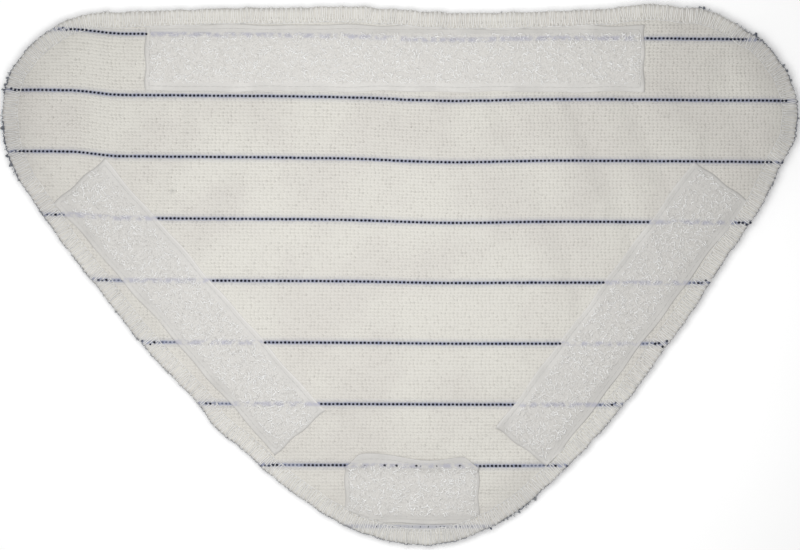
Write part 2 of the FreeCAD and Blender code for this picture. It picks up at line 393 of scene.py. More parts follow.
def worn_and_shaded_at(x, y):
    """How worn the edge is, from 0 to 1: a few places are frayed, and greyed partly by wear and partly
    as painted shade.
    """
    worn = np.zeros(len(x))
    for place_x, place_y, half, much in WORN_AND_SHADED_PLACES:
        away = np.hypot(x / MM - place_x, y / MM - place_y)
        worn = np.maximum(worn, much * bell(away, 0, half))
    return worn


print(f"{len(WORN_AND_SHADED_PLACES)} worn places along the edge")

# %% [markdown]
# ## How the pad lies
# A pad that has been sewn and washed isn't flat. The tapes and the overlocked edge have shrunk a
# little, so the knitted cloth between them stands up in low puckers, and past the last full row of
# pile the edge sags towards the table. A noise formula could raise bumps, but it wouldn't know
# where the seams are, so Blender's cloth simulation makes the puckers: a plain sheet of the pad's
# outline lies on a table while the sewn lines shrink by about one percent. What the simulation
# gives is kept as a map of how far each place moves, on a fine grid, and every piece made later is
# laid down by reading that map, so that all of them stay together.

# %% The grid that the map is kept on
GRID_STEP = 1.0 * MM
MARGIN = 14 * MM
LAST_CELL = 2.001
GRID_X = np.arange(cad_low.x - MARGIN, cad_high.x + MARGIN, GRID_STEP)
GRID_Y = np.arange(cad_low.y - MARGIN, cad_high.y + MARGIN, GRID_STEP)


def read_grid(grid, x, y):
    """Values of a grid at any places, blended smoothly between its points."""
    u = np.clip((np.asarray(x) - GRID_X[0]) / GRID_STEP, 1, len(GRID_X) - LAST_CELL)
    v = np.clip((np.asarray(y) - GRID_Y[0]) / GRID_STEP, 1, len(GRID_Y) - LAST_CELL)
    i, j = np.floor(u).astype(int), np.floor(v).astype(int)
    s, t = (u - i)[:, None], (v - j)[:, None]
    lower = grid[i, j] * (1 - s) + grid[i + 1, j] * s
    upper = grid[i, j + 1] * (1 - s) + grid[i + 1, j + 1] * s
    return lower * (1 - t) + upper * t


def measure_gaps():
    """For each grid point: how far in from the edge it is, and how far along the edge."""
    gaps = np.zeros((len(GRID_X), len(GRID_Y), 2))
    for i, x in enumerate(GRID_X):
        for j, y in enumerate(GRID_Y):
            point, index, _ = rim_tree.find((x, y, 0))
            gaps[i, j, 0] = RIM_OUT[index] @ (point.x - x, point.y - y)
            gaps[i, j, 1] = index / len(RIM) * RIM_LENGTH
    return gaps


GAPS = measure_gaps()


def gap_at(x, y):
    """How far in from the cut edge a place is; negative outside the pad."""
    return read_grid(GAPS[:, :, :1], x, y)[:, 0]


print(f"grid of {GAPS.shape[0]} x {GAPS.shape[1]} points, {(GAPS[:, :, 0] > 0).mean():.0%} inside")

# %% The tapes' places, read from the frame
class Tape:
    """A strip's middle, direction and size on the flat pattern."""

    def __init__(self, name):
        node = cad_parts[f"{name}_loop_tape"].data
        flat = np.array([vertex.co[:2] for vertex in node.vertices])
        corners = np.array([flat[i] for i in geometry.convex_hull_2d([Vector(p) for p in flat])])
        sides = np.roll(corners, -1, axis=0) - corners
        longest = sides[np.linalg.norm(sides, axis=1).argmax()]
        along = longest / np.linalg.norm(longest)
        self.name = name
        self.number = TAPES.index(name)
        self.along = along if along[0] > 0 else -along
        self.across = np.array([-self.along[1], self.along[0]])
        spans = [flat @ axis for axis in (self.along, self.across)]
        self.length, self.width = (float(np.ptp(span)) for span in spans)
        middle = [(span.max() + span.min()) / 2 for span in spans]
        self.middle = self.along * middle[0] + self.across * middle[1]
        self.angle = math.atan2(self.along[1], self.along[0])

    def place(self, along, across):
        """Pattern places from distances along and across the tape, measured from its middle."""
        return self.middle + np.outer(along, self.along) + np.outer(across, self.across)

    def local(self, x, y):
        """The distances along and across the tape of pattern places."""
        offset = np.stack([x, y], axis=1) - self.middle
        return offset @ self.along, offset @ self.across

    def covers(self, x, y, margin):
        """Whether places lie on the tape, at least a margin in from its edge."""
        along, across = self.local(x, y)
        inside = np.abs(along) < self.length / 2 - margin
        return inside & (np.abs(across) < self.width / 2 - margin)


tapes = {name: Tape(name) for name in TAPES}
for tape in tapes.values():
    print(f"{tape.name} tape: {tape.length / MM:.0f} x {tape.width / MM:.0f} mm")

# %% Simulate the puckers
SIM_STEP = 4 * MM
SIM_FRAMES = 45
START_HEIGHT = 0.5 * MM
SEWN_BAND = 7 * MM
SEWN_PAST_TAPE = 1 * MM
SPREAD_ROUNDS = 6
TABLE_CLEARANCE = 0.3 * MM
CLOTH = {
    "quality": 8,
    "mass": 0.3,
    "tension_stiffness": 40,
    "compression_stiffness": 40,
    "shear_stiffness": 20,
    "bending_stiffness": 60,
    "vertex_group_shrink": "sewn",
    "shrink_min": 0.0,
    "shrink_max": 0.012,
}


def simulated_sheet():
    """A grid mesh of the pad's outline, and the grid place of each of its vertices."""
    xs = np.arange(cad_low.x - SIM_STEP, cad_high.x + 2 * SIM_STEP, SIM_STEP)
    ys = np.arange(cad_low.y - SIM_STEP, cad_high.y + 2 * SIM_STEP, SIM_STEP)
    grid = np.stack(np.meshgrid(xs, ys, indexing="ij"), axis=2)
    inside = gap_at(grid[:, :, 0].ravel(), grid[:, :, 1].ravel()).reshape(grid.shape[:2]) > 0
    number = np.full(inside.shape, -1)
    number[inside] = np.arange(inside.sum())
    quads = np.stack(
        [number[:-1, :-1], number[1:, :-1], number[1:, 1:], number[:-1, 1:]], axis=2
    ).reshape(-1, 4)
    quads = quads[(quads >= 0).all(axis=1)]
    flat = grid[inside]
    mesh = bpy.data.meshes.new("lay_sheet")
    mesh.from_pydata([(x, y, START_HEIGHT) for x, y in flat], [], quads.tolist())
    sheet = bpy.data.objects.new("lay_sheet", mesh)
    scene.collection.objects.link(sheet)
    return sheet, flat, inside, xs, ys


def add_sewn_group(sheet, flat):
    """Marks what shrinks: the overlocked edge and the tapes."""
    sewn = gap_at(flat[:, 0], flat[:, 1]) < SEWN_BAND
    for tape in tapes.values():
        sewn |= tape.covers(flat[:, 0], flat[:, 1], -SEWN_PAST_TAPE)
    group = sheet.vertex_groups.new(name="sewn")
    group.add(np.flatnonzero(sewn).tolist(), 1.0, "REPLACE")


def run_cloth(sheet):
    """Lets the sheet settle while its sewn lines shrink, and returns where its vertices end."""
    modifier = sheet.modifiers.new("cloth", "CLOTH")
    for name, value in CLOTH.items():
        setattr(modifier.settings, name, value)
    modifier.collision_settings.distance_min = TABLE_CLEARANCE
    modifier.point_cache.frame_start = 1
    modifier.point_cache.frame_end = SIM_FRAMES
    table = bpy.data.objects.new("sim_table", bpy.data.meshes.new("sim_table"))
    table.data.from_pydata([(-1, -1, 0), (1, -1, 0), (1, 1, 0), (-1, 1, 0)], [], [(0, 1, 2, 3)])
    scene.collection.objects.link(table)
    table.modifiers.new("collision", "COLLISION")
    for step in range(1, SIM_FRAMES + 1):
        scene.frame_set(step)
    depsgraph = bpy.context.evaluated_depsgraph_get()
    settled = sheet.evaluated_get(depsgraph).data
    ends = np.zeros(len(settled.vertices) * 3)
    settled.vertices.foreach_get("co", ends)
    scene.frame_set(1)
    for item in (sheet, table):
        bpy.data.objects.remove(item)
    return ends.reshape(-1, 3)


def spread_outwards(values, known, rounds):
    """Fills the grid's unknown points from their known neighbours, a ring at a time."""
    for _ in range(rounds):
        total = np.zeros_like(values)
        count = np.zeros(known.shape)
        for axis, step in ((0, 1), (0, -1), (1, 1), (1, -1)):
            near = np.roll(known, step, axis=axis)
            total += np.roll(values, step, axis=axis) * near[:, :, None]
            count += near
        fresh = ~known & (count > 0)
        values[fresh] = total[fresh] / count[fresh][:, None]
        known = known | fresh
    return values


def simulated_lay():
    """How far each point of the coarse grid moves, from the cloth simulation."""
    sheet, flat, inside, xs, ys = simulated_sheet()
    add_sewn_group(sheet, flat)
    ends = run_cloth(sheet)
    moves = np.zeros((*inside.shape, 3))
    moves[inside, :2] = ends[:, :2] - flat
    moves[inside, :2] -= moves[inside, :2].mean(axis=0)
    moves[inside, 2] = ends[:, 2] - np.median(ends[:, 2])
    print(f"simulated lift {np.ptp(ends[:, 2]) / MM:.2f} mm, {len(flat)} vertices")
    return spread_outwards(moves, inside, SPREAD_ROUNDS), xs, ys


def cubic_rows(values, at):
    """Rows of a table read at fractional places, with a smooth curve through them."""
    low = np.clip(np.floor(at).astype(int), 1, len(values) - 3)
    t = (at - low).reshape(-1, 1, 1)
    a, b, c, d = (values[low + step] for step in (-1, 0, 1, 2))
    return b + 0.5 * t * (c - a + t * (2 * a - 5 * b + 4 * c - d + t * (3 * (b - c) + d - a)))


def fine_lay(moves, xs, ys):
    """The coarse map read at every point of the fine grid."""
    rows = cubic_rows(moves, (GRID_X - xs[0]) / SIM_STEP)
    columns = cubic_rows(rows.transpose(1, 0, 2), (GRID_Y - ys[0]) / SIM_STEP)
    return columns.transpose(1, 0, 2)


puckers = fine_lay(*simulated_lay())

# %% Add the sagging edge and its small gathers
LARGEST_LIFT = 1.0 * MM
LARGEST_SLIDE = 0.2 * MM
SLIDE_EASE = 0.6 * MM
SAG = 0.85 * MM
SAG_REACH = 15 * MM
GATHER = 0.22 * MM
GATHER_LENGTH = 9.5 * MM
GATHER_REACH = 9 * MM


def smooth_step(share):
    """0 up to 0, 1 from 1 on, and an even S between."""
    share = np.clip(share, 0, 1)
    return share * share * (3 - 2 * share)


def make_lay(lay):
    """The whole map: the puckers, held within their limits, the sagging edge and the gathers."""
    lay[:, :, 2] = LARGEST_LIFT * np.tanh(lay[:, :, 2] / LARGEST_LIFT)
    lay[:, :, :2] = LARGEST_SLIDE * np.tanh(lay[:, :, :2] / SLIDE_EASE)
    gap, along = GAPS[:, :, 0], GAPS[:, :, 1]
    lay[:, :, 2] -= SAG * smooth_step(1 - gap / SAG_REACH)
    gathers = round(RIM_LENGTH / GATHER_LENGTH)
    phase = along / RIM_LENGTH * math.tau
    # The gathers crowd together and spread out again a few times round the edge.
    wave = np.sin(gathers * phase + 1.5 * np.sin(7 * phase) + np.sin(12 * phase))
    lay[:, :, 2] += GATHER * wave * np.exp(-np.abs(gap) / GATHER_REACH)
    return lay


LAY = make_lay(puckers)
inside_lift = LAY[:, :, 2][GAPS[:, :, 0] > 0]
print(f"the laid pad goes {inside_lift.min() / MM:.2f} to {inside_lift.max() / MM:.2f} mm")


def settle(mesh):
    """Lays a flat-made mesh down. Below the cloth the move fades out towards the table."""
    points = np.zeros(len(mesh.vertices) * 3)
    mesh.vertices.foreach_get("co", points)
    points = points.reshape(-1, 3)
    move = read_grid(LAY, points[:, 0], points[:, 1])
    height = np.clip(points[:, 2] / CLOTH_UNDER, 0, 1)
    points[:, :2] += move[:, :2]
    points[:, 2] += move[:, 2] * height
    mesh.vertices.foreach_set("co", points.ravel())
    mesh.update()
    return mesh


# %% [markdown]
# ## Thread, made by node trees
# Nearly everything on the pad is thread that does the same thing thousands of times: knitted
# links, nylon loops, pile loops, stitches. Hair could stand for some of it, but it isn't a mesh
# and can't be knitted or sewn. So one kind of Geometry Nodes tree bends a short length of thread
# by a formula and puts a copy of it on every point it is given, turned and sized by numbers stored
# on the points. Another runs one long thread along a drawn path, for the overlock loopers. All
# end as plain meshes, and the lay then puts them in place.

# %% Helpers for node trees and point meshes
TREE_SOCKETS = {float: "NodeSocketFloat", int: "NodeSocketInt", tuple: "NodeSocketVector"}


def new_tree(name, sizes):
    """A geometry tree with named inputs. Returns it, its start and a wire for each input."""
    tree = bpy.data.node_groups.new(name, "GeometryNodeTree")
    face = tree.interface
    face.new_socket("Geometry", in_out="INPUT", socket_type="NodeSocketGeometry")
    for key, value in sizes.items():
        face.new_socket(key, in_out="INPUT", socket_type=TREE_SOCKETS[type(value)])
    face.new_socket("Material", in_out="INPUT", socket_type="NodeSocketMaterial")
    face.new_socket("Geometry", in_out="OUTPUT", socket_type="NodeSocketGeometry")
    given = tree.nodes.new("NodeGroupInput")
    wires = {socket.name: Wire(tree, socket) for socket in given.outputs if socket.name}
    return tree, Wire(tree), wires


def end_tree(start, geometry_wire, material_wire):
    """Realize Instances, Set Material and the output."""
    smooth = start.add("GeometryNodeSetShadeSmooth", None, {"Geometry": geometry_wire})
    real = start.add("GeometryNodeRealizeInstances", None, {"Geometry": smooth})
    inputs = {"Geometry": real, "Material": material_wire}
    dressed = start.add("GeometryNodeSetMaterial", None, inputs)
    start.add("NodeGroupOutput", None, {"Geometry": dressed})
    print(f"tree {start.tree.name}: {len(start.tree.nodes)} nodes")


def store(mesh, **numbers):
    """Keeps a number, or three, for every vertex of a mesh."""
    for key, values in numbers.items():
        values = np.asarray(values, dtype=float)
        kind, field = ("FLOAT_VECTOR", "vector") if values.ndim == 2 else ("FLOAT", "value")
        layer = mesh.attributes.new(key, kind, "POINT")
        layer.data.foreach_set(field, values.ravel())


def points_mesh(places, **numbers):
    """A mesh of loose points for a tree to work on."""
    mesh = bpy.data.meshes.new("points")
    mesh.vertices.add(len(places))
    mesh.vertices.foreach_set("co", np.asarray(places, dtype=float).ravel())
    store(mesh, **numbers)
    return mesh


def as_object(name, mesh):
    """Puts a mesh in the scene."""
    piece = bpy.data.objects.new(name, mesh)
    scene.collection.objects.link(piece)
    return piece


def grow(name, mesh, tree, material, **sizes):
    """Runs a tree on a mesh and returns the laid-down result as a plain mesh object."""
    source = as_object("source", mesh)
    modifier = source.modifiers.new("thread", "NODES")
    modifier.node_group = tree
    names = {key.replace("_", " ").capitalize(): value for key, value in sizes.items()}
    names["Material"] = material
    for socket in tree.interface.items_tree:
        if socket.in_out == "INPUT" and socket.name in names:
            modifier[socket.identifier] = names[socket.name]
    depsgraph = bpy.context.evaluated_depsgraph_get()
    plain = bpy.data.meshes.new_from_object(source.evaluated_get(depsgraph))
    bpy.data.objects.remove(source)
    piece = as_object(name, settle(plain))
    triangles = sum(len(face.vertices) - 2 for face in plain.polygons)
    print(f"{name}: {triangles} triangles")
    return piece


print("a tree's inputs may be:", ", ".join(kind.__name__ for kind in TREE_SOCKETS))

# %% The tree that puts a bent thread on every point
LOOP_SIZES = {
    "Length": 1.0,
    "Width": 0.0,
    "Height": 0.0,
    "Radius": 1.0,
    "Bends": 5,
    "Sides": 4,
    "Turn jitter": (0.0, 0.0, 0.0),
    "Size jitter": 0.0,
    "Seed": 0,
}


def arch(t, length, width, height):
    """From one foot over to the other, bowed sideways like an S."""
    return length * (t - 0.5), width * (t * math.tau).sine(), height * (t * math.pi).sine()


def link(t, length, width, height):
    """Out along one leg, round the head and back along the other."""
    return length * (t * math.pi).sine(), width * (t * math.tau).sine(), height * (t * math.pi).sine()


def bent_thread(start, given, bend):
    """One short thread with round cross-section, bent by a formula."""
    line = start.add("GeometryNodeCurvePrimitiveLine", None, {"Start": (0, 0, 0), "End": (1, 0, 0)})
    even = start.add("GeometryNodeResampleCurve", None, {"Curve": line, "Count": given["Bends"]})
    t = start.add("GeometryNodeSplineParameter")
    x, y, z = bend(t, given["Length"], given["Width"], given["Height"])
    place = start.add("ShaderNodeCombineXYZ", None, {"X": x, "Y": y, "Z": z})
    inputs = {"Geometry": even, "Position": place}
    bent = start.add("GeometryNodeSetPosition", None, inputs)
    inputs = {"Resolution": given["Sides"], "Radius": given["Radius"]}
    section = start.add("GeometryNodeCurvePrimitiveCircle", None, inputs)
    inputs = {"Curve": bent, "Profile Curve": section, "Fill Caps": True}
    return start.add("GeometryNodeCurveToMesh", None, inputs)


def make_loop_tree(name, bend):
    """A tree that puts a copy of one bent thread on every point of a mesh."""
    tree, start, given = new_tree(name, LOOP_SIZES)
    thread = bent_thread(start, given, bend)
    three = {"data_type": "FLOAT_VECTOR"}
    turn = start.add("GeometryNodeInputNamedAttribute", three, {"Name": "turn"})
    size = start.add("GeometryNodeInputNamedAttribute", three, {"Name": "size"})
    inputs = {0: (-1, -1, -1), 1: (1, 1, 1), "Seed": given["Seed"]}
    swing = start.add("FunctionNodeRandomValue", three, inputs)
    swing = swing.vector("MULTIPLY", given["Turn jitter"])
    spread = given["Size jitter"]
    inputs = {2: 1 - spread, 3: 1 + spread, "Seed": given["Seed"] + 1}
    growth = start.add("FunctionNodeRandomValue", {"data_type": "FLOAT"}, inputs, output=1)
    inputs = {
        "Points": given["Geometry"],
        "Instance": thread,
        "Rotation": turn.vector("ADD", swing),
        "Scale": size.vector("MULTIPLY", growth),
    }
    copies = start.add("GeometryNodeInstanceOnPoints", None, inputs)
    end_tree(start, copies, given["Material"])
    return tree


arch_tree = make_loop_tree("arches_on_points", arch)
link_tree = make_loop_tree("links_on_points", link)

# %% The tree that runs a thread along a path
PATH_SIZES = {"Radius": 1.0, "Sides": 6}


def make_path_tree():
    """A tree that gives the edges of a mesh a round thread's thickness."""
    tree, start, given = new_tree("thread_on_path", PATH_SIZES)
    line = start.add("GeometryNodeMeshToCurve", None, {"Mesh": given["Geometry"]})
    inputs = {"Resolution": given["Sides"], "Radius": given["Radius"]}
    section = start.add("GeometryNodeCurvePrimitiveCircle", None, inputs)
    inputs = {"Curve": line, "Profile Curve": section, "Fill Caps": True}
    rope = start.add("GeometryNodeCurveToMesh", None, inputs)
    end_tree(start, rope, given["Material"])
    return tree


path_tree = make_path_tree()

# %% [markdown]
# ## The finishes
# A painted picture of cloth would need an image file, and would show its edges close up. Here
# every finish is built from noise on the object's own coordinates, so it stays still from every
# side. Numbers stored on the meshes steer the colours: `row` says where a place lies between two
# stripes, and is a whole number exactly on a stripe, another says how grey a thread is, which is
# partly soiling and partly painted shade along the edge and on the side and front tapes, and the
# tapes also have `field` for their looped middle, which is painted a little lighter against the
# shade of the loops, `bead` for their raised edge, and a number that paints some loops pure white
# as glints. Around each stripe the white yarn is hazy blue, because loose navy fibres have
# spread into it, and under the tapes the stripes shine through as faint lilac lines.

# %% Colours and what the finishes share
STRIPE_PITCH = 24.65 * MM
FIRST_STRIPE = 96.7 * MM


def colour(red, green, blue):
    """A colour written from 0 to 255, as the linear values that Blender works in."""
    steps = [value / 255 for value in (red, green, blue)]
    linear = [v / 12.92 if v <= 0.04045 else ((v + 0.055) / 1.055) ** 2.4 for v in steps]
    return (*linear, 1.0)


def off_stripe(start):
    """The distance from the nearest stripe, in metres."""
    row = start.attribute("row")
    return (row - row.whole()).distance() * STRIPE_PITCH


def spot(start, x, y, radius):
    """1 in the middle of a round spot on the pad and 0 outside it."""
    place = start.add("ShaderNodeTexCoord", output="Object")
    flat = place.vector("MULTIPLY", (1, 1, 0))
    away = flat.vector("DISTANCE", (x * MM, y * MM, 0), output=1)
    return 1 - away.between(0.2 * radius * MM, radius * MM)


print(f"{STRIPES} stripes, {STRIPE_PITCH / MM:.2f} mm apart")

# %% White knitted yarn
STAINS = (  # place x, place y and radius in millimetres, strength and colour
    (-91.5, 34.5, 1.8, 0.22, (140, 140, 138)),
    (-50, 99, 1.2, 0.9, (80, 78, 76)),
)


def make_ground_knit():
    """Matt warm white yarn with the blue haze beside the stripes and two small stains."""
    material, start = new_material("ground_knit")
    blotch = start.noise(28 * MM, detail=3).between(0.35, 0.65)
    fibre = start.noise(0.35 * MM, detail=3, roughness=0.7)
    yarn = blotch.mix(colour(215, 212, 206), colour(221, 219, 212))
    yarn = (fibre.between(0.3, 0.7) * 0.35).mix(yarn, colour(205, 202, 197))
    away = off_stripe(start)
    haze = 0.7 - 0.55 * away.between(0.3 * MM, 1.2 * MM) - 0.15 * away.between(0.8 * MM, 2.8 * MM)
    haze = haze * (0.4 + start.noise(2 * MM)) * (1 - 0.4 * start.attribute("row").between(7.3, 7.6))
    yarn = haze.mix(yarn, colour(118, 128, 164))
    # The sheet greys at the worn places of the edge, partly by wear and partly as painted shade.
    yarn = start.attribute("dirt").mix(yarn, colour(120, 118, 124))
    for x, y, radius, strength, stain in STAINS:
        yarn = (spot(start, x, y, radius) * strength).mix(yarn, colour(*stain))
    finish_material(
        start,
        yarn,
        roughness=fibre.between(0.2, 0.8) * 0.15 + 0.8,
        specular=0.25,
        normal=start.bump(fibre, 0.12 * MM, 0.6),
        sheen=(0.25, 0.5),
    )
    return material


GROUND = make_ground_knit()

# %% Microfibre pile
def make_microfibre():
    """Fluffy white yarn, navy below each stripe, that greys where it is soiled and, along the edge, as
    painted shade.
    """
    material, start = new_material("microfibre")
    clump = start.noise(6 * MM, detail=4, roughness=0.6)
    fibre = start.noise(0.3 * MM, detail=2, roughness=0.8, stretch=(1, 1, 4))
    pile = clump.between(0.3, 0.7).mix(colour(208, 209, 209), colour(224, 224, 222))
    pile = (fibre.between(0.35, 0.75) * 0.4).mix(pile, colour(184, 187, 190))
    stripe = (1 - off_stripe(start).between(0.9 * MM, 1.9 * MM)) * 0.92
    pile = stripe.mix(pile, colour(34, 42, 70))
    # The pile greys a little at random as soiling, and on the edge fringe partly by wear and partly as
    # painted shade.
    pile = start.attribute("dirt").mix(pile, colour(112, 118, 130))
    finish_material(
        start,
        pile,
        roughness=fibre * 0.2 + 0.75,
        specular=0.3,
        normal=start.bump(fibre, 0.15 * MM, 0.7),
        sheen=(0.4, 0.4),
    )
    return material


MICROFIBRE = make_microfibre()

# %% Navy yarn
def make_navy_yarn():
    """Dark twisted yarn, a little paler where it has worn."""
    material, start = new_material("stripe_yarn")
    twist = start.noise(0.25 * MM, detail=3, roughness=0.6, stretch=(3, 1, 1))
    wear = start.noise(7 * MM, detail=2)
    yarn = twist.between(0.35, 0.7).mix(colour(7, 10, 20), colour(22, 28, 50))
    yarn = (wear.between(0.5, 0.75) * 0.2).mix(yarn, colour(60, 70, 102))
    yarn = start.attribute("dirt").mix(yarn, colour(120, 126, 146))
    finish_material(
        start,
        yarn,
        roughness=twist * 0.2 + 0.7,
        specular=0.25,
        normal=start.bump(twist, 0.1 * MM, 0.6),
        sheen=(0.15, 0.5),
    )
    return material


NAVY = make_navy_yarn()

# %% Woven nylon tape and its loops
def shine_through(start, base, strength):
    """The stripes below, seen faintly through thin white nylon."""
    near = 1 - off_stripe(start).between(0.3 * MM, 1.5 * MM)
    patchy = near * strength * start.noise(2.5 * MM, detail=3).between(0.35, 0.6)
    return patchy.mix(base, colour(150, 152, 184))


def make_tape_base():
    """The woven ribbon, a touch brighter on its beaded edge, and painted lighter under its loops against
    the shade they cast.
    """
    material, start = new_material("tape_base")
    weave = start.noise(0.5 * MM, detail=2, roughness=0.7)
    cloudy = start.noise(11 * MM, detail=3).between(0.35, 0.65)
    nylon = cloudy.mix(colour(206, 204, 200), colour(214, 212, 208))
    nylon = (weave.between(0.4, 0.7) * 0.3).mix(nylon, colour(197, 196, 194))
    nylon = (start.attribute("bead") * 0.7).mix(nylon, colour(226, 224, 220))
    # Under the loops the ribbon is painted a little lighter, which offsets the shade that the loops cast
    # on it.
    nylon = start.attribute("field").mix(nylon, colour(213, 211, 207))
    nylon = shine_through(start, nylon, 0.45)
    # The side and front ribbons are greyed as painted shade; the front strip's upper lip is greyer
    # still.
    nylon = start.attribute("dirt").mix(nylon, colour(120, 118, 120))
    finish_material(
        start,
        nylon,
        roughness=weave * 0.25 + 0.4,
        specular=0.4,
        normal=start.bump(weave, 0.08 * MM, 0.5),
    )
    return material


def make_tape_loops():
    """Glossy nylon thread, which catches the light in small glints; the pulled loops are also painted
    pure white as glints.
    """
    material, start = new_material("tape_loops")
    tuft = start.noise(2.2 * MM, detail=3, roughness=0.7)
    gloss = start.noise(0.8 * MM, detail=1)
    nylon = tuft.between(0.35, 0.65).mix(colour(242, 240, 237), colour(250, 249, 247))
    # The pulled loops are painted pure white, as glints.
    nylon = start.attribute("gleam").mix(nylon, colour(255, 255, 254))
    nylon = shine_through(start, nylon, 0.25)
    # The loops of the side and front tapes are greyed as painted shade.
    nylon = start.attribute("dirt").mix(nylon, colour(120, 118, 120))
    finish_material(
        start,
        nylon,
        roughness=gloss.between(0.3, 0.7) * 0.12 + 0.12,
        specular=0.8,
        normal=start.bump(gloss, 0.03 * MM, 0.3),
    )
    return material


TAPE = make_tape_base()
LOOPS = make_tape_loops()

# %% Sewing thread and overlock thread
def make_thread(name, light, dark, gloss):
    """A spun polyester thread between two colours, greyed a little by soiling and, on the edge, partly
    by wear and partly by painted shade.
    """
    material, start = new_material(name)
    twist = start.noise(0.22 * MM, detail=2, roughness=0.6)
    patch = start.noise(9 * MM, detail=3).between(0.3, 0.7)
    spun = (twist.between(0.35, 0.7) * 0.6 + patch * 0.4).mix(light, dark)
    # The seams grey a little as soiling; the overlock threads grey partly by wear and partly as painted
    # shade.
    spun = start.attribute("dirt").mix(spun, colour(108, 112, 124))
    finish_material(
        start,
        spun,
        roughness=twist * 0.2 + gloss,
        specular=0.3,
        normal=start.bump(twist, 0.06 * MM, 0.6),
        sheen=(0.1, 0.5),
    )
    return material


SEWING = make_thread("sewing_thread", colour(222, 221, 217), colour(204, 202, 198), 0.5)
OVERLOCK = make_thread("overlock_thread", colour(243, 242, 239), colour(232, 231, 228), 0.65)

# %% [markdown]
# ## The knitted ground
# The ground is a warp knit: chains of links run side by side along the stripes, and the stripes
# are simply chains worked in navy yarn. A bumpy finish on a flat sheet would be quicker, but it
# has no gaps or shadows between its stitches, so the links are real and come from the node tree,
# one for each stitch. The pattern isn't perfectly straight on the sewn pad. At the left end the
# chains have been pulled up, and they dip a little right of the middle, so a short formula gives
# that drift. A thin closed sheet carries the links and keeps light out.

# %% Where the knitting has drifted
LINK_PITCH = 1.6 * MM
WALES = 18
WALE_PITCH = STRIPE_PITCH / WALES


def drift(x, y):
    """How far the chains have moved along Y at a place of the pattern, less towards the front."""
    u = np.asarray(x) / MM
    pulled = 1.7 * smooth_step((-u - 112) / 22)
    dip = 1.2 * bell(u, 18, 30)
    share = 0.15 + 0.85 * smooth_step((np.asarray(y) / MM + 30) / 80)
    return (0.1 - 0.0075 * u + pulled - dip) * share * MM


def stripe_row(x, y):
    """The place in stripe pitches, a whole number on a stripe."""
    return (FIRST_STRIPE - (y - drift(x, y))) / STRIPE_PITCH


left, right = (drift(x, cad_high.y) / MM for x in (cad_low.x, cad_high.x))
print(f"the chains drift {left:.1f} mm at the left end and {right:.1f} mm at the right")

# %% A closed sheet of the pad's outline
# How grey the cloth is made at those places of the edge: partly wear, partly painted shade.
CLOTH_WEAR_AND_SHADE = 0.2


def closed_mesh(name, material, top, under, faces, ring, **numbers):
    """A thin closed mesh: its top, the same turned over as its underside, and a wall round them."""
    size = len(top)
    after = np.roll(ring, -1)
    wall = np.stack([ring, ring + size, after + size, after], axis=1)
    mesh = bpy.data.meshes.new(name)
    mesh.from_pydata(
        np.vstack([top, under]).tolist(),
        [],
        faces.tolist() + (faces[:, ::-1] + size).tolist() + wall.tolist(),
    )
    store(mesh, **{key: np.tile(values, 2) for key, values in numbers.items()})
    mesh.materials.append(material)
    mesh.polygons.foreach_set("use_smooth", np.ones(len(mesh.polygons), dtype=bool))
    print(f"{name}: {len(mesh.polygons)} faces")
    return mesh


def closed_sheet(name, material, inset, spacing, low, high):
    """A flat closed sheet, whose edge is the cut edge moved in, with evenly meshed faces."""
    count = round(RIM_LENGTH / spacing)
    border = rim_place(np.arange(count) / count * RIM_LENGTH, np.full(count, inset))
    xs = np.arange(cad_low.x, cad_high.x, spacing)
    ys = np.arange(cad_low.y, cad_high.y, spacing)
    x, y = (values.ravel() for values in np.meshgrid(xs, ys, indexing="ij"))
    keep = gap_at(x, y) > inset + 0.6 * spacing
    flat = np.vstack([border, np.stack([x[keep], y[keep]], axis=1)])
    edges = [(i, (i + 1) % count) for i in range(count)]
    net = geometry.delaunay_2d_cdt([Vector(p) for p in flat], edges, [], 1, 1e-7)
    flat = np.array([tuple(p) for p in net[0]])
    mesh = closed_mesh(
        name,
        material,
        top=np.column_stack([flat, np.full(len(flat), high)]),
        under=np.column_stack([flat, np.full(len(flat), low)]),
        faces=np.array(net[2]),
        ring=np.arange(count),
        row=stripe_row(flat[:, 0], flat[:, 1]),
        dirt=CLOTH_WEAR_AND_SHADE * worn_and_shaded_at(flat[:, 0], flat[:, 1]),
    )
    return as_object(name, settle(mesh))


SHEET_TOP = CLOTH_TOP - 0.1 * MM
ground = closed_sheet(
    "ground_sheet", GROUND, inset=0.2 * MM, spacing=1.5 * MM, low=CLOTH_UNDER, high=SHEET_TOP
)

# %% The white links
WHITE_LINK = {
    "length": 1.3 * MM,
    "width": 0.42 * MM,
    "height": 0.08 * MM,
    "radius": 0.3 * MM,
    "bends": 5,
    "sides": 3,
    "turn_jitter": (0.1, 0.06, 0.09),
    "size_jitter": 0.09,
    "seed": 11,
}
LINK_DEPTH = 0.13 * MM
ROWS_EACH = 1.65
FIRST_ROW = -0.5
LAST_ROW = 8.6


def chain_places(lines):
    """Places of links along chains at these pattern heights. Each chain starts a little apart."""
    xs = np.arange(cad_low.x, cad_high.x, LINK_PITCH)
    x, y = np.meshgrid(xs, lines, indexing="ij")
    x = x + 0.15 * LINK_PITCH * np.sin(y / WALE_PITCH * 1.3)
    x, y = x.ravel(), y.ravel()
    return x, y + drift(x, y)


def under_tape(x, y, margin, front_margin):
    """Whether places lie under a tape, by a margin that is larger under the loose front one."""
    margins = {name: margin for name in TAPES} | {"front": front_margin}
    return np.any([tape.covers(x, y, margins[tape.name]) for tape in tapes.values()], axis=0)


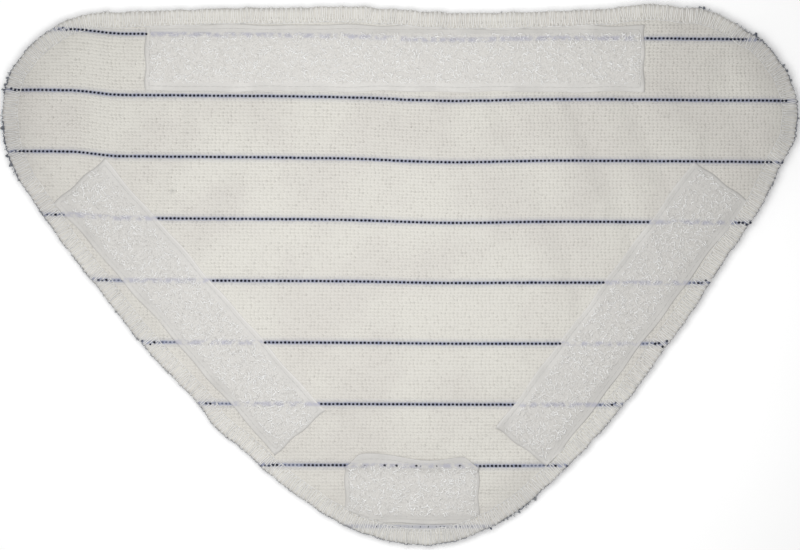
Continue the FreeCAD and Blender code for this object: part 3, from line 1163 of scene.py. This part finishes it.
def ground_links(name, low_row, high_row):
    """The white links of the chains between two stripe rows, up to a ragged line at the edge."""
    wales = np.arange(round(low_row * WALES), round(high_row * WALES))
    wales = wales[wales % WALES != 0]
    x, y = chain_places(FIRST_STRIPE - wales * WALE_PITCH)
    ragged = (3.6 + 1.2 * np.sin(x / MM * 1.9) * np.sin(y / MM * 2.3)) * MM
    keep = (gap_at(x, y) > ragged) & ~under_tape(x, y, 0.9 * MM, 4.5 * MM)
    x, y = x[keep], y[keep]
    places = np.stack([x, y, np.full(len(x), SHEET_TOP - LINK_DEPTH)], axis=1)
    still = np.zeros((len(x), 3))
    mesh = points_mesh(
        places, turn=still, size=still + 1, row=stripe_row(x, y), dirt=np.zeros(len(x))
    )
    return grow(name, mesh, link_tree, GROUND, **WHITE_LINK)


row_starts = np.arange(FIRST_ROW, STRIPES - 0.5, ROWS_EACH)
knit_links = [
    ground_links(f"knit_links_{index + 1}", start, min(start + ROWS_EACH, LAST_ROW))
    for index, start in enumerate(row_starts)
]

# %% [markdown]
# ## The navy stripes
# Nine of the chains are navy. Each is a row of teardrop links, and in every link the two legs of
# the yarn lie side by side, so these get more bends and sides than the white ones. Near the cut
# edge the overlock machine has broken the chain up: links are missing there or stand askew.

# %% The navy chains
NAVY_LINK = {
    "length": 0.66 * MM,
    "width": 0.19 * MM,
    "height": 0.16 * MM,
    "radius": 0.32 * MM,
    "bends": 7,
    "sides": 6,
    "turn_jitter": (0.12, 0.05, 0.1),
    "size_jitter": 0.07,
}
BROKEN_BAND = 3.4 * MM
KEPT_SHARE = 0.7
CAUGHT_SHARE = 0.2
OVERLOCK_BAND = 6.6 * MM
FADED_BAND = (4.6 * MM, 13 * MM)
ON_CLOTH = SHEET_TOP + 0.14 * MM
ON_OVERLOCK = CLOTH_TOP + 0.25 * MM
ON_TAPE = TAPE_TOP + 0.1 * MM
SUNK = SHEET_TOP - 0.25 * MM
HIDDEN = SHEET_TOP - 0.4 * MM


def is_faded(number, x, y, broken):
    """Whether links have sunk into the cloth: near both ends of the lower stripes but the last."""
    gap = gap_at(x, y)
    near_end = (gap > FADED_BAND[0]) & (gap < FADED_BAND[1]) & (np.abs(x) > 40 * MM)
    return (2 < number < STRIPES - 1) & near_end & (y > -90 * MM) & ~broken


def link_heights(number, x, y, faded, loose):
    """Links lie on the cloth, climb the overlock, hide below a tape or are caught on top of it."""
    z = np.where(gap_at(x, y) < OVERLOCK_BAND, ON_OVERLOCK, ON_CLOTH)
    z = np.where(faded, SUNK, z)
    last_end = (number == STRIPES - 1) & (x < 36 * MM)
    z = np.where(under_tape(x, y, 0.5 * MM, 0.5 * MM) | last_end, HIDDEN, z)
    by_front_tape = (number == STRIPES - 2) & tapes["front"].covers(x, y, -2 * MM)
    return np.where(by_front_tape & loose, ON_TAPE, z)


def navy_chain(number):
    """One stripe. Near the cut edge some of its links are missing, and others askew or greyer."""
    rng = np.random.default_rng(100 + number)
    x, y = chain_places([FIRST_STRIPE - number * STRIPE_PITCH])
    gap = gap_at(x, y)
    x, y, gap = (values[gap > 0.2 * MM] for values in (x, y, gap))
    broken = gap < BROKEN_BAND
    kept = ~broken | (rng.random(len(x)) < KEPT_SHARE)
    x, y, broken = x[kept], y[kept], broken[kept]
    count = len(x)
    y = y + broken * rng.normal(0, 0.45 * MM, count)
    faded = is_faded(number, x, y, broken)
    turn = np.zeros((count, 3))
    turn[:, 2] = broken * rng.normal(0, 0.55, count)
    size = np.ones((count, 3))
    size[broken] *= rng.uniform(0.6, 1.05, (broken.sum(), 1))
    z = link_heights(number, x, y, faded, rng.random(count) < CAUGHT_SHARE)
    dirt = np.where(broken, rng.uniform(0.0, 0.55, count), 0.7 * faded)
    places = np.stack([x, y, z], axis=1)
    mesh = points_mesh(places, turn=turn, size=size, row=np.full(count, number), dirt=dirt)
    return grow(f"navy_chain_{number + 1}", mesh, link_tree, NAVY, **NAVY_LINK, seed=20 + number)


stripe_yarns = [navy_chain(number) for number in range(STRIPES)]

# %% [markdown]
# ## The four loop tapes
# A loop tape is a woven nylon ribbon with a smooth selvedge down each side and a field of tiny
# nylon loops between. It is sewn on flat, but its selvedges ripple, and the short front strip has
# a loose upper edge that curls towards the middle of the pad. Such small ripples are easier to
# steer by a formula than by a simulation, so the ribbon is a thin closed grid that a formula
# shapes. Its loops come from the arch tree and lean every way, and some have been pulled longer.

# %% The ribbons
TAPE_CELL = 1.0 * MM
TAPE_LINES = 26
TAPE_FACE = TAPE_TOP - 0.12 * MM
TAPE_THICKNESS = 0.4 * MM
NAP_WIDTH = 19.2 * MM
NAP_END = 1.6 * MM
SIDE_BAND = 4.5 * MM
END_BAND = 5 * MM
BEAD_WIDTH = 0.9 * MM
BEAD_HEIGHT = 0.03 * MM
NEEDLE_LINE = 6.2 * MM
TRIM_ROUNDS = 3
TRIM_STEP = 0.5 * MM
# How much grey is painted on each tape's ribbon and loops as shade.
TAPE_SHADE = {"back": 0.0, "left": 0.07, "right": 0.08, "front": 0.05}
TAPE_BEAD = {"back": 0.0, "left": 1.0, "right": 0.6, "front": 0.0}
LIP_GREYING = 0.09


def front_lip(along):
    """How far the front strip's upper edge stands out from its straight line."""
    u = along / MM
    wave = 1.2 * bell(u, -18, 9) + 0.9 * bell(u, -8, 8) - 1.7 * bell(u, 7, 9) + 0.3 * bell(u, 18, 5)
    corners = 4.2 * smooth_step((np.abs(u) - 20.5) / 6.5)
    return (wave - corners) * MM


def tape_shape(tape, along, across):
    """The ribbon's moves along and across, and its lift from its flat place."""
    rng = np.random.default_rng(len(tape.name) * 7)
    phases = rng.uniform(0, math.tau, 6)
    side = smooth_step((np.abs(across) - tape.width / 2 + SIDE_BAND) / SIDE_BAND)
    end = smooth_step((np.abs(along) - tape.length / 2 + END_BAND) / END_BAND)
    u = along / MM
    # Waves of lengths that never fall in step keep the ripples from repeating.
    ripple = np.sin(u / 5.1 + phases[0]) + 0.7 * np.sin(u / 2.9 + phases[1])
    plain = smooth_step((np.abs(across) - NAP_WIDTH / 2) / (1.8 * MM))
    lift = side * (0.06 * ripple - 0.04) - 0.25 * np.maximum(plain, end)
    shift = side * np.sign(across) * 0.22 * (np.sin(u / 7.3 + phases[2]) + np.sin(u / 3.7))
    slide = end * np.sign(along) * 0.3 * np.sin(across / MM / 2.1 + phases[3])
    lift = lift + 0.05 * np.sin(u / 1.9 + phases[4]) * np.sin(across / MM / 2.3 + phases[5])
    if tape.name == "front":
        upper = smooth_step((across - 6 * MM) / (7.5 * MM))
        shift = shift + upper * front_lip(along) / MM
        lift = lift + upper * (0.9 + 0.35 * np.sin(u / 4.0))
    if tape.name == "right":
        lift = lift + 0.9 * smooth_step((-u - tape.length / MM / 2 + 9) / 9) * side
    return slide * MM, shift * MM, lift * MM


def trim_to_needle_line(places):
    """Pulls places that lie outside the needle line straight in to it."""
    for _ in range(TRIM_ROUNDS):
        x, y = places[:, 0], places[:, 1]
        short = np.clip(NEEDLE_LINE - gap_at(x, y), 0, None)
        slope = np.stack(
            [
                gap_at(x + TRIM_STEP, y) - gap_at(x - TRIM_STEP, y),
                gap_at(x, y + TRIM_STEP) - gap_at(x, y - TRIM_STEP),
            ],
            axis=1,
        )
        slope /= np.maximum(np.linalg.norm(slope, axis=1), 1e-9)[:, None]
        places = places + slope * short[:, None]
    return places


def tape_lines(tape):
    """Where the mesh lines run along a ribbon, with a second line close inside each edge."""
    inner = np.linspace(TAPE_CELL - tape.width / 2, tape.width / 2 - TAPE_CELL, TAPE_LINES)
    edge = np.array([-1.0, 1.0]) * tape.width / 2
    return np.sort(np.concatenate([inner, edge, edge * (1 - TAPE_CELL / tape.width)]))


def bead_at(tape, across):
    """1 on the raised line along the selvedge that faces the middle of the pad."""
    sides = tape.place(np.zeros(2), np.array([1.0, -1.0]) * tape.width / 2)
    inward = np.sign(gap_at(sides[:1, 0], sides[:1, 1]) - gap_at(sides[1:, 0], sides[1:, 1]))
    bead = smooth_step((inward * across - tape.width / 2 + BEAD_WIDTH) / (0.5 * MM))
    return bead * TAPE_BEAD[tape.name]


def make_ribbon(tape):
    """A ribbon on its bed of cloth: a closed grid that stops at the overlock's needle line."""
    columns = round(tape.length / TAPE_CELL)
    lines = tape_lines(tape)
    stations = np.linspace(-tape.length / 2, tape.length / 2, columns + 1)
    along, across = (values.ravel() for values in np.meshgrid(stations, lines, indexing="ij"))
    slide, shift, lift = tape_shape(tape, along, across)
    flat = trim_to_needle_line(tape.place(along + slide, across + shift))
    bead = bead_at(tape, across)
    top = TAPE_FACE + BEAD_HEIGHT * bead + lift
    cell = np.arange(len(flat)).reshape(columns + 1, len(lines))
    quads = np.stack([cell[:-1, :-1], cell[1:, :-1], cell[1:, 1:], cell[:-1, 1:]], axis=2)
    looped = 1 - smooth_step((np.abs(across) - NAP_WIDTH / 2) / (0.8 * MM))
    # The ribbon takes its tape's painted shade.
    dirt = np.full(len(flat), TAPE_SHADE[tape.name])
    # The front strip's upper lip is made greyer.
    if tape.name == "front":
        dirt += LIP_GREYING * smooth_step((across / MM - 7) / 3)
    mesh = closed_mesh(
        f"{tape.name}_ribbon",
        TAPE,
        top=np.column_stack([flat, top]),
        under=np.column_stack([flat, top - TAPE_THICKNESS]),
        faces=quads.reshape(-1, 4),
        ring=np.concatenate([cell[:-1, 0], cell[-1, :-1], cell[:0:-1, -1], cell[0, :0:-1]]),
        row=stripe_row(flat[:, 0], flat[:, 1]),
        bead=bead,
        field=looped * (np.abs(along) < tape.length / 2 - NAP_END),
        dirt=dirt,
    )
    return as_object(mesh.name, settle(mesh))


ribbons = {name: make_ribbon(tape) for name, tape in tapes.items()}

# %% The nylon loops
NAP_LOOP = {
    "length": 1.4 * MM,
    "width": 0.35 * MM,
    "height": 0.35 * MM,
    "radius": 0.06 * MM,
    "bends": 5,
    "sides": 3,
}
PULLED_LOOP = {
    "length": 1.5 * MM,
    "width": 0.3 * MM,
    "height": 0.3 * MM,
    "radius": 0.13 * MM,
    "bends": 5,
    "sides": 5,
}
LOOP_SPACING = 0.82 * MM
LOOP_SCATTER = 0.42
NAP_GAP = 6.6 * MM
TUFT_SIZE = 3.5 * MM
PULLED_SHARE = 0.26
PULLED_IN_TUFT = 0.5
PULLED_LIFT = 0.3 * MM


def nap_points(tape, rng):
    """Scattered places on the field of loops, with the ribbon's height at each."""
    length = tape.length - 2 * NAP_END
    columns, rows = round(length / LOOP_SPACING), round(NAP_WIDTH / LOOP_SPACING)
    along, across = np.meshgrid(
        np.linspace(-length / 2, length / 2, columns),
        np.linspace(-NAP_WIDTH / 2, NAP_WIDTH / 2, rows),
        indexing="ij",
    )
    along = along.ravel() + rng.uniform(-LOOP_SCATTER, LOOP_SCATTER, along.size) * LOOP_SPACING
    across = across.ravel() + rng.uniform(-LOOP_SCATTER, LOOP_SCATTER, across.size) * LOOP_SPACING
    slide, shift, lift = tape_shape(tape, along, across)
    flat = tape.place(along + slide, across + shift)
    keep = gap_at(flat[:, 0], flat[:, 1]) > NAP_GAP
    return np.column_stack([flat[keep], TAPE_FACE + lift[keep]])


def nap_mesh(tape, places, gleam, rng):
    """The points of a nap, each with its own lean and size."""
    count = len(places)
    turn = rng.normal(0, 1, (count, 3)) * (0.5, 0.08, 0)
    turn[:, 2] = rng.uniform(0, math.tau, count)
    size = np.ones((count, 3)) * rng.uniform(0.7, 1.2, (count, 1))
    size[:, 2] *= rng.uniform(0.6, 1.1, count)
    row = stripe_row(places[:, 0], places[:, 1])
    # The tape's painted shade is laid on its loops too, and the loops painted white as glints take less
    # of it.
    dirt = np.full(count, TAPE_SHADE[tape.name] * (1 - 0.7 * gleam))
    gleam = np.full(count, gleam)
    return points_mesh(places, turn=turn, size=size, row=row, dirt=dirt, gleam=gleam)


def make_pulled_loops(tape):
    """A few loops, in tufts, pulled longer than the rest, that lie on top, catch the light and are
    painted pure white as glints.
    """
    rng = np.random.default_rng(400 + tape.number)
    places = nap_points(tape, rng)
    tufts = np.array([noise.noise(Vector(place) / TUFT_SIZE) for place in places])
    places = places[rng.random(len(places)) < PULLED_SHARE + PULLED_IN_TUFT * tufts]
    places[:, 2] += PULLED_LIFT
    mesh = nap_mesh(tape, places, 1.0, rng)
    seed = 35 + tape.number
    return grow(f"{tape.name}_pulled_loops", mesh, arch_tree, LOOPS, **PULLED_LOOP, seed=seed)


def make_nap(tape):
    """The short loops that cover the field."""
    rng = np.random.default_rng(300 + tape.number)
    mesh = nap_mesh(tape, nap_points(tape, rng), 0.0, rng)
    return grow(f"{tape.name}_loops", mesh, arch_tree, LOOPS, **NAP_LOOP, seed=30 + tape.number)


pulled = {name: make_pulled_loops(tape) for name, tape in tapes.items()}
naps = {name: make_nap(tape) for name, tape in tapes.items()}

# %% [markdown]
# ## The tapes' seams
# Each tape is held by a lockstitch seam that runs round it just inside its edge. From above it is
# a row of short bridges of thread that dip into the cloth at both ends. A dashed line in the
# ribbon's finish would lie flat, so each stitch is one arch of the tree, standing on the ribbon.

# %% The lockstitches
TAPE_STITCH = {
    "length": 2.1 * MM,
    "height": 0.14 * MM,
    "radius": 0.13 * MM,
    "bends": 6,
    "sides": 6,
    "turn_jitter": (0.1, 0.03, 0.07),
    "size_jitter": 0.06,
}
STITCH = 2.4 * MM
SEAM_INSET = 1.9 * MM
SEAM_DEPTH = 0.03 * MM
SEAM_DIRT = 0.1


def seam_points(tape):
    """Places along and across the tape for each stitch, with its direction on the tape."""
    half = (tape.length / 2 - SEAM_INSET, tape.width / 2 - SEAM_INSET)
    corners = np.array([(-1, -1), (1, -1), (1, 1), (-1, 1)]) * half
    places, headings = [], []
    for first, last in zip(corners, np.roll(corners, -1, axis=0)):
        run = np.linalg.norm(last - first)
        count = round(run / STITCH)
        shares = (np.arange(count) + 0.5) / count
        places.append(first + shares[:, None] * (last - first))
        headings.append(np.full(count, math.atan2(*(last - first)[::-1])))
    return np.vstack(places), np.concatenate(headings)


def make_seam(tape):
    """The stitches that hold one tape, each on the ribbon's own height."""
    local, heading = seam_points(tape)
    slide, shift, lift = tape_shape(tape, local[:, 0], local[:, 1])
    flat = trim_to_needle_line(tape.place(local[:, 0] + slide, local[:, 1] + shift))
    turn = np.zeros((len(flat), 3))
    turn[:, 2] = heading + tape.angle
    places = np.column_stack([flat, TAPE_FACE - SEAM_DEPTH + lift])
    dirt = np.full(len(flat), SEAM_DIRT)
    mesh = points_mesh(places, turn=turn, size=np.ones((len(flat), 3)), dirt=dirt)
    return grow(f"{tape.name}_seam", mesh, arch_tree, SEWING, **TAPE_STITCH, seed=40 + tape.number)


seams = {name: make_seam(tape) for name, tape in tapes.items()}

# %% [markdown]
# ## The overlocked edge
# A three-thread overlock binds the cut edge. The needle thread makes a row of short stitches six
# millimetres in. The upper looper thread zigzags over the top between those stitches and the edge,
# and the lower looper does the same underneath, and the two cross on the edge itself. Copies of
# one stitch would show a gap wherever two of them meet. Each looper is one continuous thread, so
# it is drawn as one long path and swept by the path tree.

# %% Looper paths
OVERLOCK_PITCH = 2.0 * MM
NEEDLE_INSET = 6.25 * MM
EDGE_STITCHES = round(RIM_LENGTH / OVERLOCK_PITCH)


def stitch_path(shape, seed):
    """A closed path that repeats one stitch's places, given as along, inset and height."""
    rng = np.random.default_rng(seed)
    shape = np.array(shape) * MM
    pitch = RIM_LENGTH / EDGE_STITCHES
    path = np.tile(shape, (EDGE_STITCHES, 1))
    path[:, 0] *= pitch / OVERLOCK_PITCH
    path[:, 0] += np.repeat(np.arange(EDGE_STITCHES) * pitch, len(shape))
    wobble = rng.normal(0, 0.12 * MM, (EDGE_STITCHES, 3))
    wobble[:, 2] = rng.normal(0, 0.06 * MM, EDGE_STITCHES)
    path += np.repeat(wobble, len(shape), axis=0)
    path[:, :2] += rng.normal(0, 0.05 * MM, (len(path), 2))
    flat = rim_place(path[:, 0], path[:, 1])
    return np.column_stack([flat, path[:, 2]])


def dirt_and_shade_at(x, y, rng):
    """How grey the edge threads are: a little everywhere, and more at the worn places, where the grey is
    partly wear and partly painted shade.
    """
    return np.clip(0.1 * worn_and_shaded_at(x, y) + rng.normal(0.12, 0.05, len(x)), 0, 0.7)


def paler_back_edge_at(y):
    """Less grey along the straight back edge than along the others, so the painted shade of its outline
    is fainter there.
    """
    return 1 - 0.75 * smooth_step((y / MM - 97) / 7)


def looper(name, shape, seed, radius, grey):
    """One looper thread all round the edge. Its grey is partly wear and partly painted shade, the lower
    looper's most of all.
    """
    places = stitch_path(shape, seed)
    count = len(places)
    mesh = bpy.data.meshes.new("path")
    mesh.from_pydata(places.tolist(), [(i, (i + 1) % count) for i in range(count)], [])
    x, y = places[:, 0], places[:, 1]
    dirt = dirt_and_shade_at(x, y, np.random.default_rng(seed + 1)) + grey * (1 + 0.8 * worn_and_shaded_at(x, y))
    dirt *= paler_back_edge_at(y)
    store(mesh, dirt=np.clip(dirt, 0, 1))
    return grow(name, mesh, path_tree, OVERLOCK, radius=radius, sides=6)


TOP = CLOTH_TOP / MM
UNDER = RIM_UNDER / MM
UPPER_STITCH = (  # along, inset and height in millimetres
    (0.1, 6.2, TOP - 0.02),
    (0.4, 4.6, TOP + 0.04),
    (0.5, 2.6, TOP + 0.06),
    (0.6, 0.9, TOP + 0.02),
    (0.65, 0.2, TOP - 0.25),
    (0.85, 0.0, TOP - 0.7),
    (1.1, 0.2, TOP - 0.25),
    (1.15, 0.9, TOP + 0.02),
    (1.25, 2.8, TOP + 0.06),
    (1.4, 4.7, TOP + 0.04),
    (1.8, 6.1, TOP - 0.02),
)
LOWER_STITCH = (
    (0.05, 5.8, UNDER + 0.3),
    (0.1, 3.4, UNDER),
    (0.15, 0.9, UNDER + 0.1),
    (0.25, 0.0, UNDER + 1.0),
    (0.55, -0.12, TOP - 0.75),
    (1.0, -0.15, TOP - 0.7),
    (1.45, -0.12, TOP - 0.75),
    (1.75, 0.0, UNDER + 1.0),
    (1.85, 0.9, UNDER + 0.1),
    (1.9, 3.4, UNDER),
    (1.95, 5.8, UNDER + 0.3),
)
upper_looper = looper("upper_looper", UPPER_STITCH, seed=51, radius=0.2 * MM, grey=0.0)
# The lower looper is painted grey as the edge's thin dark shaded outline seen from above.
lower_looper = looper("lower_looper", LOWER_STITCH, seed=53, radius=0.25 * MM, grey=0.45)

# %% Needle stitches
NEEDLE_STITCH = {
    "length": 2.0 * MM,
    "height": 0.1 * MM,
    "radius": 0.14 * MM,
    "bends": 6,
    "sides": 6,
    "turn_jitter": (0.1, 0.05, 0.08),
    "size_jitter": 0.06,
    "seed": 62,
}
NEEDLE_LIFT = 0.08 * MM
NEEDLE_GREY = 1.3


def make_needle_stitches():
    """A row of short stitches round the pad, each pointing along the edge."""
    along = (np.arange(EDGE_STITCHES) + 0.5) * RIM_LENGTH / EDGE_STITCHES
    flat = rim_place(along, np.full(EDGE_STITCHES, NEEDLE_INSET))
    ahead = rim_place(along + 1 * MM, np.full(EDGE_STITCHES, NEEDLE_INSET)) - flat
    turn = np.zeros((EDGE_STITCHES, 3))
    turn[:, 2] = np.arctan2(ahead[:, 1], ahead[:, 0])
    places = np.column_stack([flat, np.full(EDGE_STITCHES, CLOTH_TOP + NEEDLE_LIFT)])
    dirt = dirt_and_shade_at(flat[:, 0], flat[:, 1], np.random.default_rng(61)) * NEEDLE_GREY
    mesh = points_mesh(places, turn=turn, size=np.ones((EDGE_STITCHES, 3)), dirt=dirt)
    return grow("needle_stitches", mesh, arch_tree, OVERLOCK, **NEEDLE_STITCH)


needle_thread = make_needle_stitches()

# %% [markdown]
# ## The microfibre pile
# The wiping side is a deep terry: soft yarn loops about five millimetres long hang from the ground
# and touch the floor. Below each navy stripe the loops are navy too. Real pile is so dense that
# making every loop would be far too heavy, so a closed core fills the space between the loops, and
# thousands of hanging arches, each leaning its own way, make the surface. At the cut edge the
# outermost loops have worked their way out between the overlock threads and show from above as a
# soft grey fringe, whose grey is partly wear and partly painted shade.

# %% The core and its loops
PILE_LOOP = {
    "length": 1.5 * MM,
    "width": 0.35 * MM,
    "height": -4.2 * MM,
    "radius": 0.5 * MM,
    "bends": 6,
    "sides": 4,
}
PILE_SPACING = 2.25 * MM
PILE_SCATTER = 0.4
PILE_GAP = 2.2 * MM
PILE_BANDS = 4
CORE_UNDER = 2.4 * MM
LOOP_ROOT = 4.9 * MM

core = closed_sheet(
    "pile_core", MICROFIBRE, inset=1.6 * MM, spacing=2.5 * MM, low=CORE_UNDER, high=CLOTH_UNDER
)


def pile_loops(name, low_y, high_y, seed):
    """The hanging loops of one band of the pad."""
    rng = np.random.default_rng(seed)
    xs = np.arange(cad_low.x, cad_high.x, PILE_SPACING)
    ys = np.arange(low_y, high_y, PILE_SPACING)
    x, y = (values.ravel() for values in np.meshgrid(xs, ys, indexing="ij"))
    x = x + rng.uniform(-PILE_SCATTER, PILE_SCATTER, len(x)) * PILE_SPACING
    y = y + rng.uniform(-PILE_SCATTER, PILE_SCATTER, len(y)) * PILE_SPACING
    keep = gap_at(x, y) > PILE_GAP
    x, y = x[keep], y[keep]
    count = len(x)
    turn = np.stack(
        [rng.normal(0, 0.32, count), rng.normal(0, 0.15, count), rng.uniform(0, math.tau, count)],
        axis=1,
    )
    size = np.ones((count, 3)) * rng.uniform(0.8, 1.2, (count, 1))
    size[:, 2] = rng.uniform(0.75, 1.0, count)
    mesh = points_mesh(
        np.column_stack([x, y, np.full(count, LOOP_ROOT)]),
        turn=turn,
        size=size,
        row=stripe_row(x, y),
        dirt=np.clip(rng.normal(0.02, 0.03, count), 0, 0.2),
    )
    return grow(name, mesh, arch_tree, MICROFIBRE, **PILE_LOOP, seed=seed)


pile_bands = np.linspace(cad_low.y, cad_high.y, PILE_BANDS + 1)
pile_pieces = [
    pile_loops(f"pile_loops_{index + 1}", pile_bands[index], pile_bands[index + 1], 70 + index)
    for index in range(PILE_BANDS)
]

# %% The fringe of loops at the edge
FRINGE_LOOP = {"length": 1.1 * MM, "width": 0.3 * MM, "bends": 6, "sides": 4}


def edge_fringe(name, spacing, tucked, frayed, lean, reach, radius, seed):
    """Arches that hang along the cut edge. Where it is worn they lean further out."""
    rng = np.random.default_rng(seed)
    count = round(RIM_LENGTH / spacing)
    along = (np.arange(count) + rng.uniform(-0.4, 0.4, count)) * spacing
    rim = rim_place(along, np.zeros(count))
    worn = worn_and_shaded_at(rim[:, 0], rim[:, 1]) * rng.uniform(0.3, 1.2, count)
    inset = tucked + (frayed - tucked) * worn + rng.uniform(-0.3, 0.3, count) * MM
    flat = rim_place(along, inset)
    out = flat - rim_place(along, inset + 1 * MM)
    turn = np.stack(
        [
            lean + 0.5 * worn + rng.normal(0, 0.15, count),
            rng.normal(0, 0.25, count),
            np.arctan2(out[:, 1], out[:, 0]) - math.pi / 2 + rng.normal(0, 0.3, count),
        ],
        axis=1,
    )
    size = np.ones((count, 3)) * rng.uniform(0.75, 1.1, (count, 1))
    # The fringe is painted grey: a little all round, and more at the worn places, partly as wear and
    # partly as painted shade.
    dirt = np.clip(0.15 + worn * 0.9 + rng.normal(0, 0.12, count), 0, 0.95)
    places = np.column_stack([flat, np.full(count, LOOP_ROOT)])
    row = stripe_row(flat[:, 0], flat[:, 1])
    mesh = points_mesh(places, turn=turn, size=size, row=row, dirt=dirt)
    thread = {**FRINGE_LOOP, "height": -reach, "radius": radius}
    return grow(name, mesh, arch_tree, MICROFIBRE, **thread, seed=seed)


fringe = [
    edge_fringe(
        "edge_pile",
        spacing=0.8 * MM,
        tucked=1.9 * MM,
        frayed=0.9 * MM,
        lean=0.2,
        reach=4.2 * MM,
        radius=0.42 * MM,
        seed=81,
    ),
    edge_fringe(
        "edge_fuzz",
        spacing=0.9 * MM,
        tucked=1.4 * MM,
        frayed=0.1 * MM,
        lean=0.45,
        reach=2.4 * MM,
        radius=0.09 * MM,
        seed=82,
    ),
]

# %% [markdown]
# ## Hand the pieces to the frame
# Every piece rides on the pad's one body and takes the place of the CAD part it stands for, which
# is hidden. The knitted ground and the four ribbons are sheets of cloth. The links, the pile and
# the edge threads belong to the ground, and each ribbon keeps its loops and its seam.

# %% Ride and replace
def hand_over(piece, slot, *nodes):
    """Fixes a piece to the pad's body and hides the CAD parts it stands for. The slot is not used."""
    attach(piece, "root")
    if nodes:
        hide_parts(*nodes)


hand_over(ground, "ground_knit", "ground_cloth")
for piece in knit_links:
    hand_over(piece, "ground_knit")
for number, piece in enumerate(stripe_yarns):
    hand_over(piece, "stripe_yarn", f"stripe_yarn_{number + 1}")
hand_over(core, "microfibre", "microfibre_pile")
for piece in (*pile_pieces, *fringe):
    hand_over(piece, "microfibre")
hand_over(upper_looper, "overlock_thread", "overlock_upper_looper_thread")
hand_over(lower_looper, "overlock_thread", "overlock_lower_looper_thread")
hand_over(needle_thread, "overlock_thread", "overlock_needle_thread")
for name in TAPES:
    hand_over(ribbons[name], "tape_base", f"{name}_loop_tape")
    hand_over(naps[name], "tape_loops", f"{name}_loop_nap")
    hand_over(pulled[name], "tape_loops")
    hand_over(seams[name], "sewing_thread", f"{name}_tape_seam")
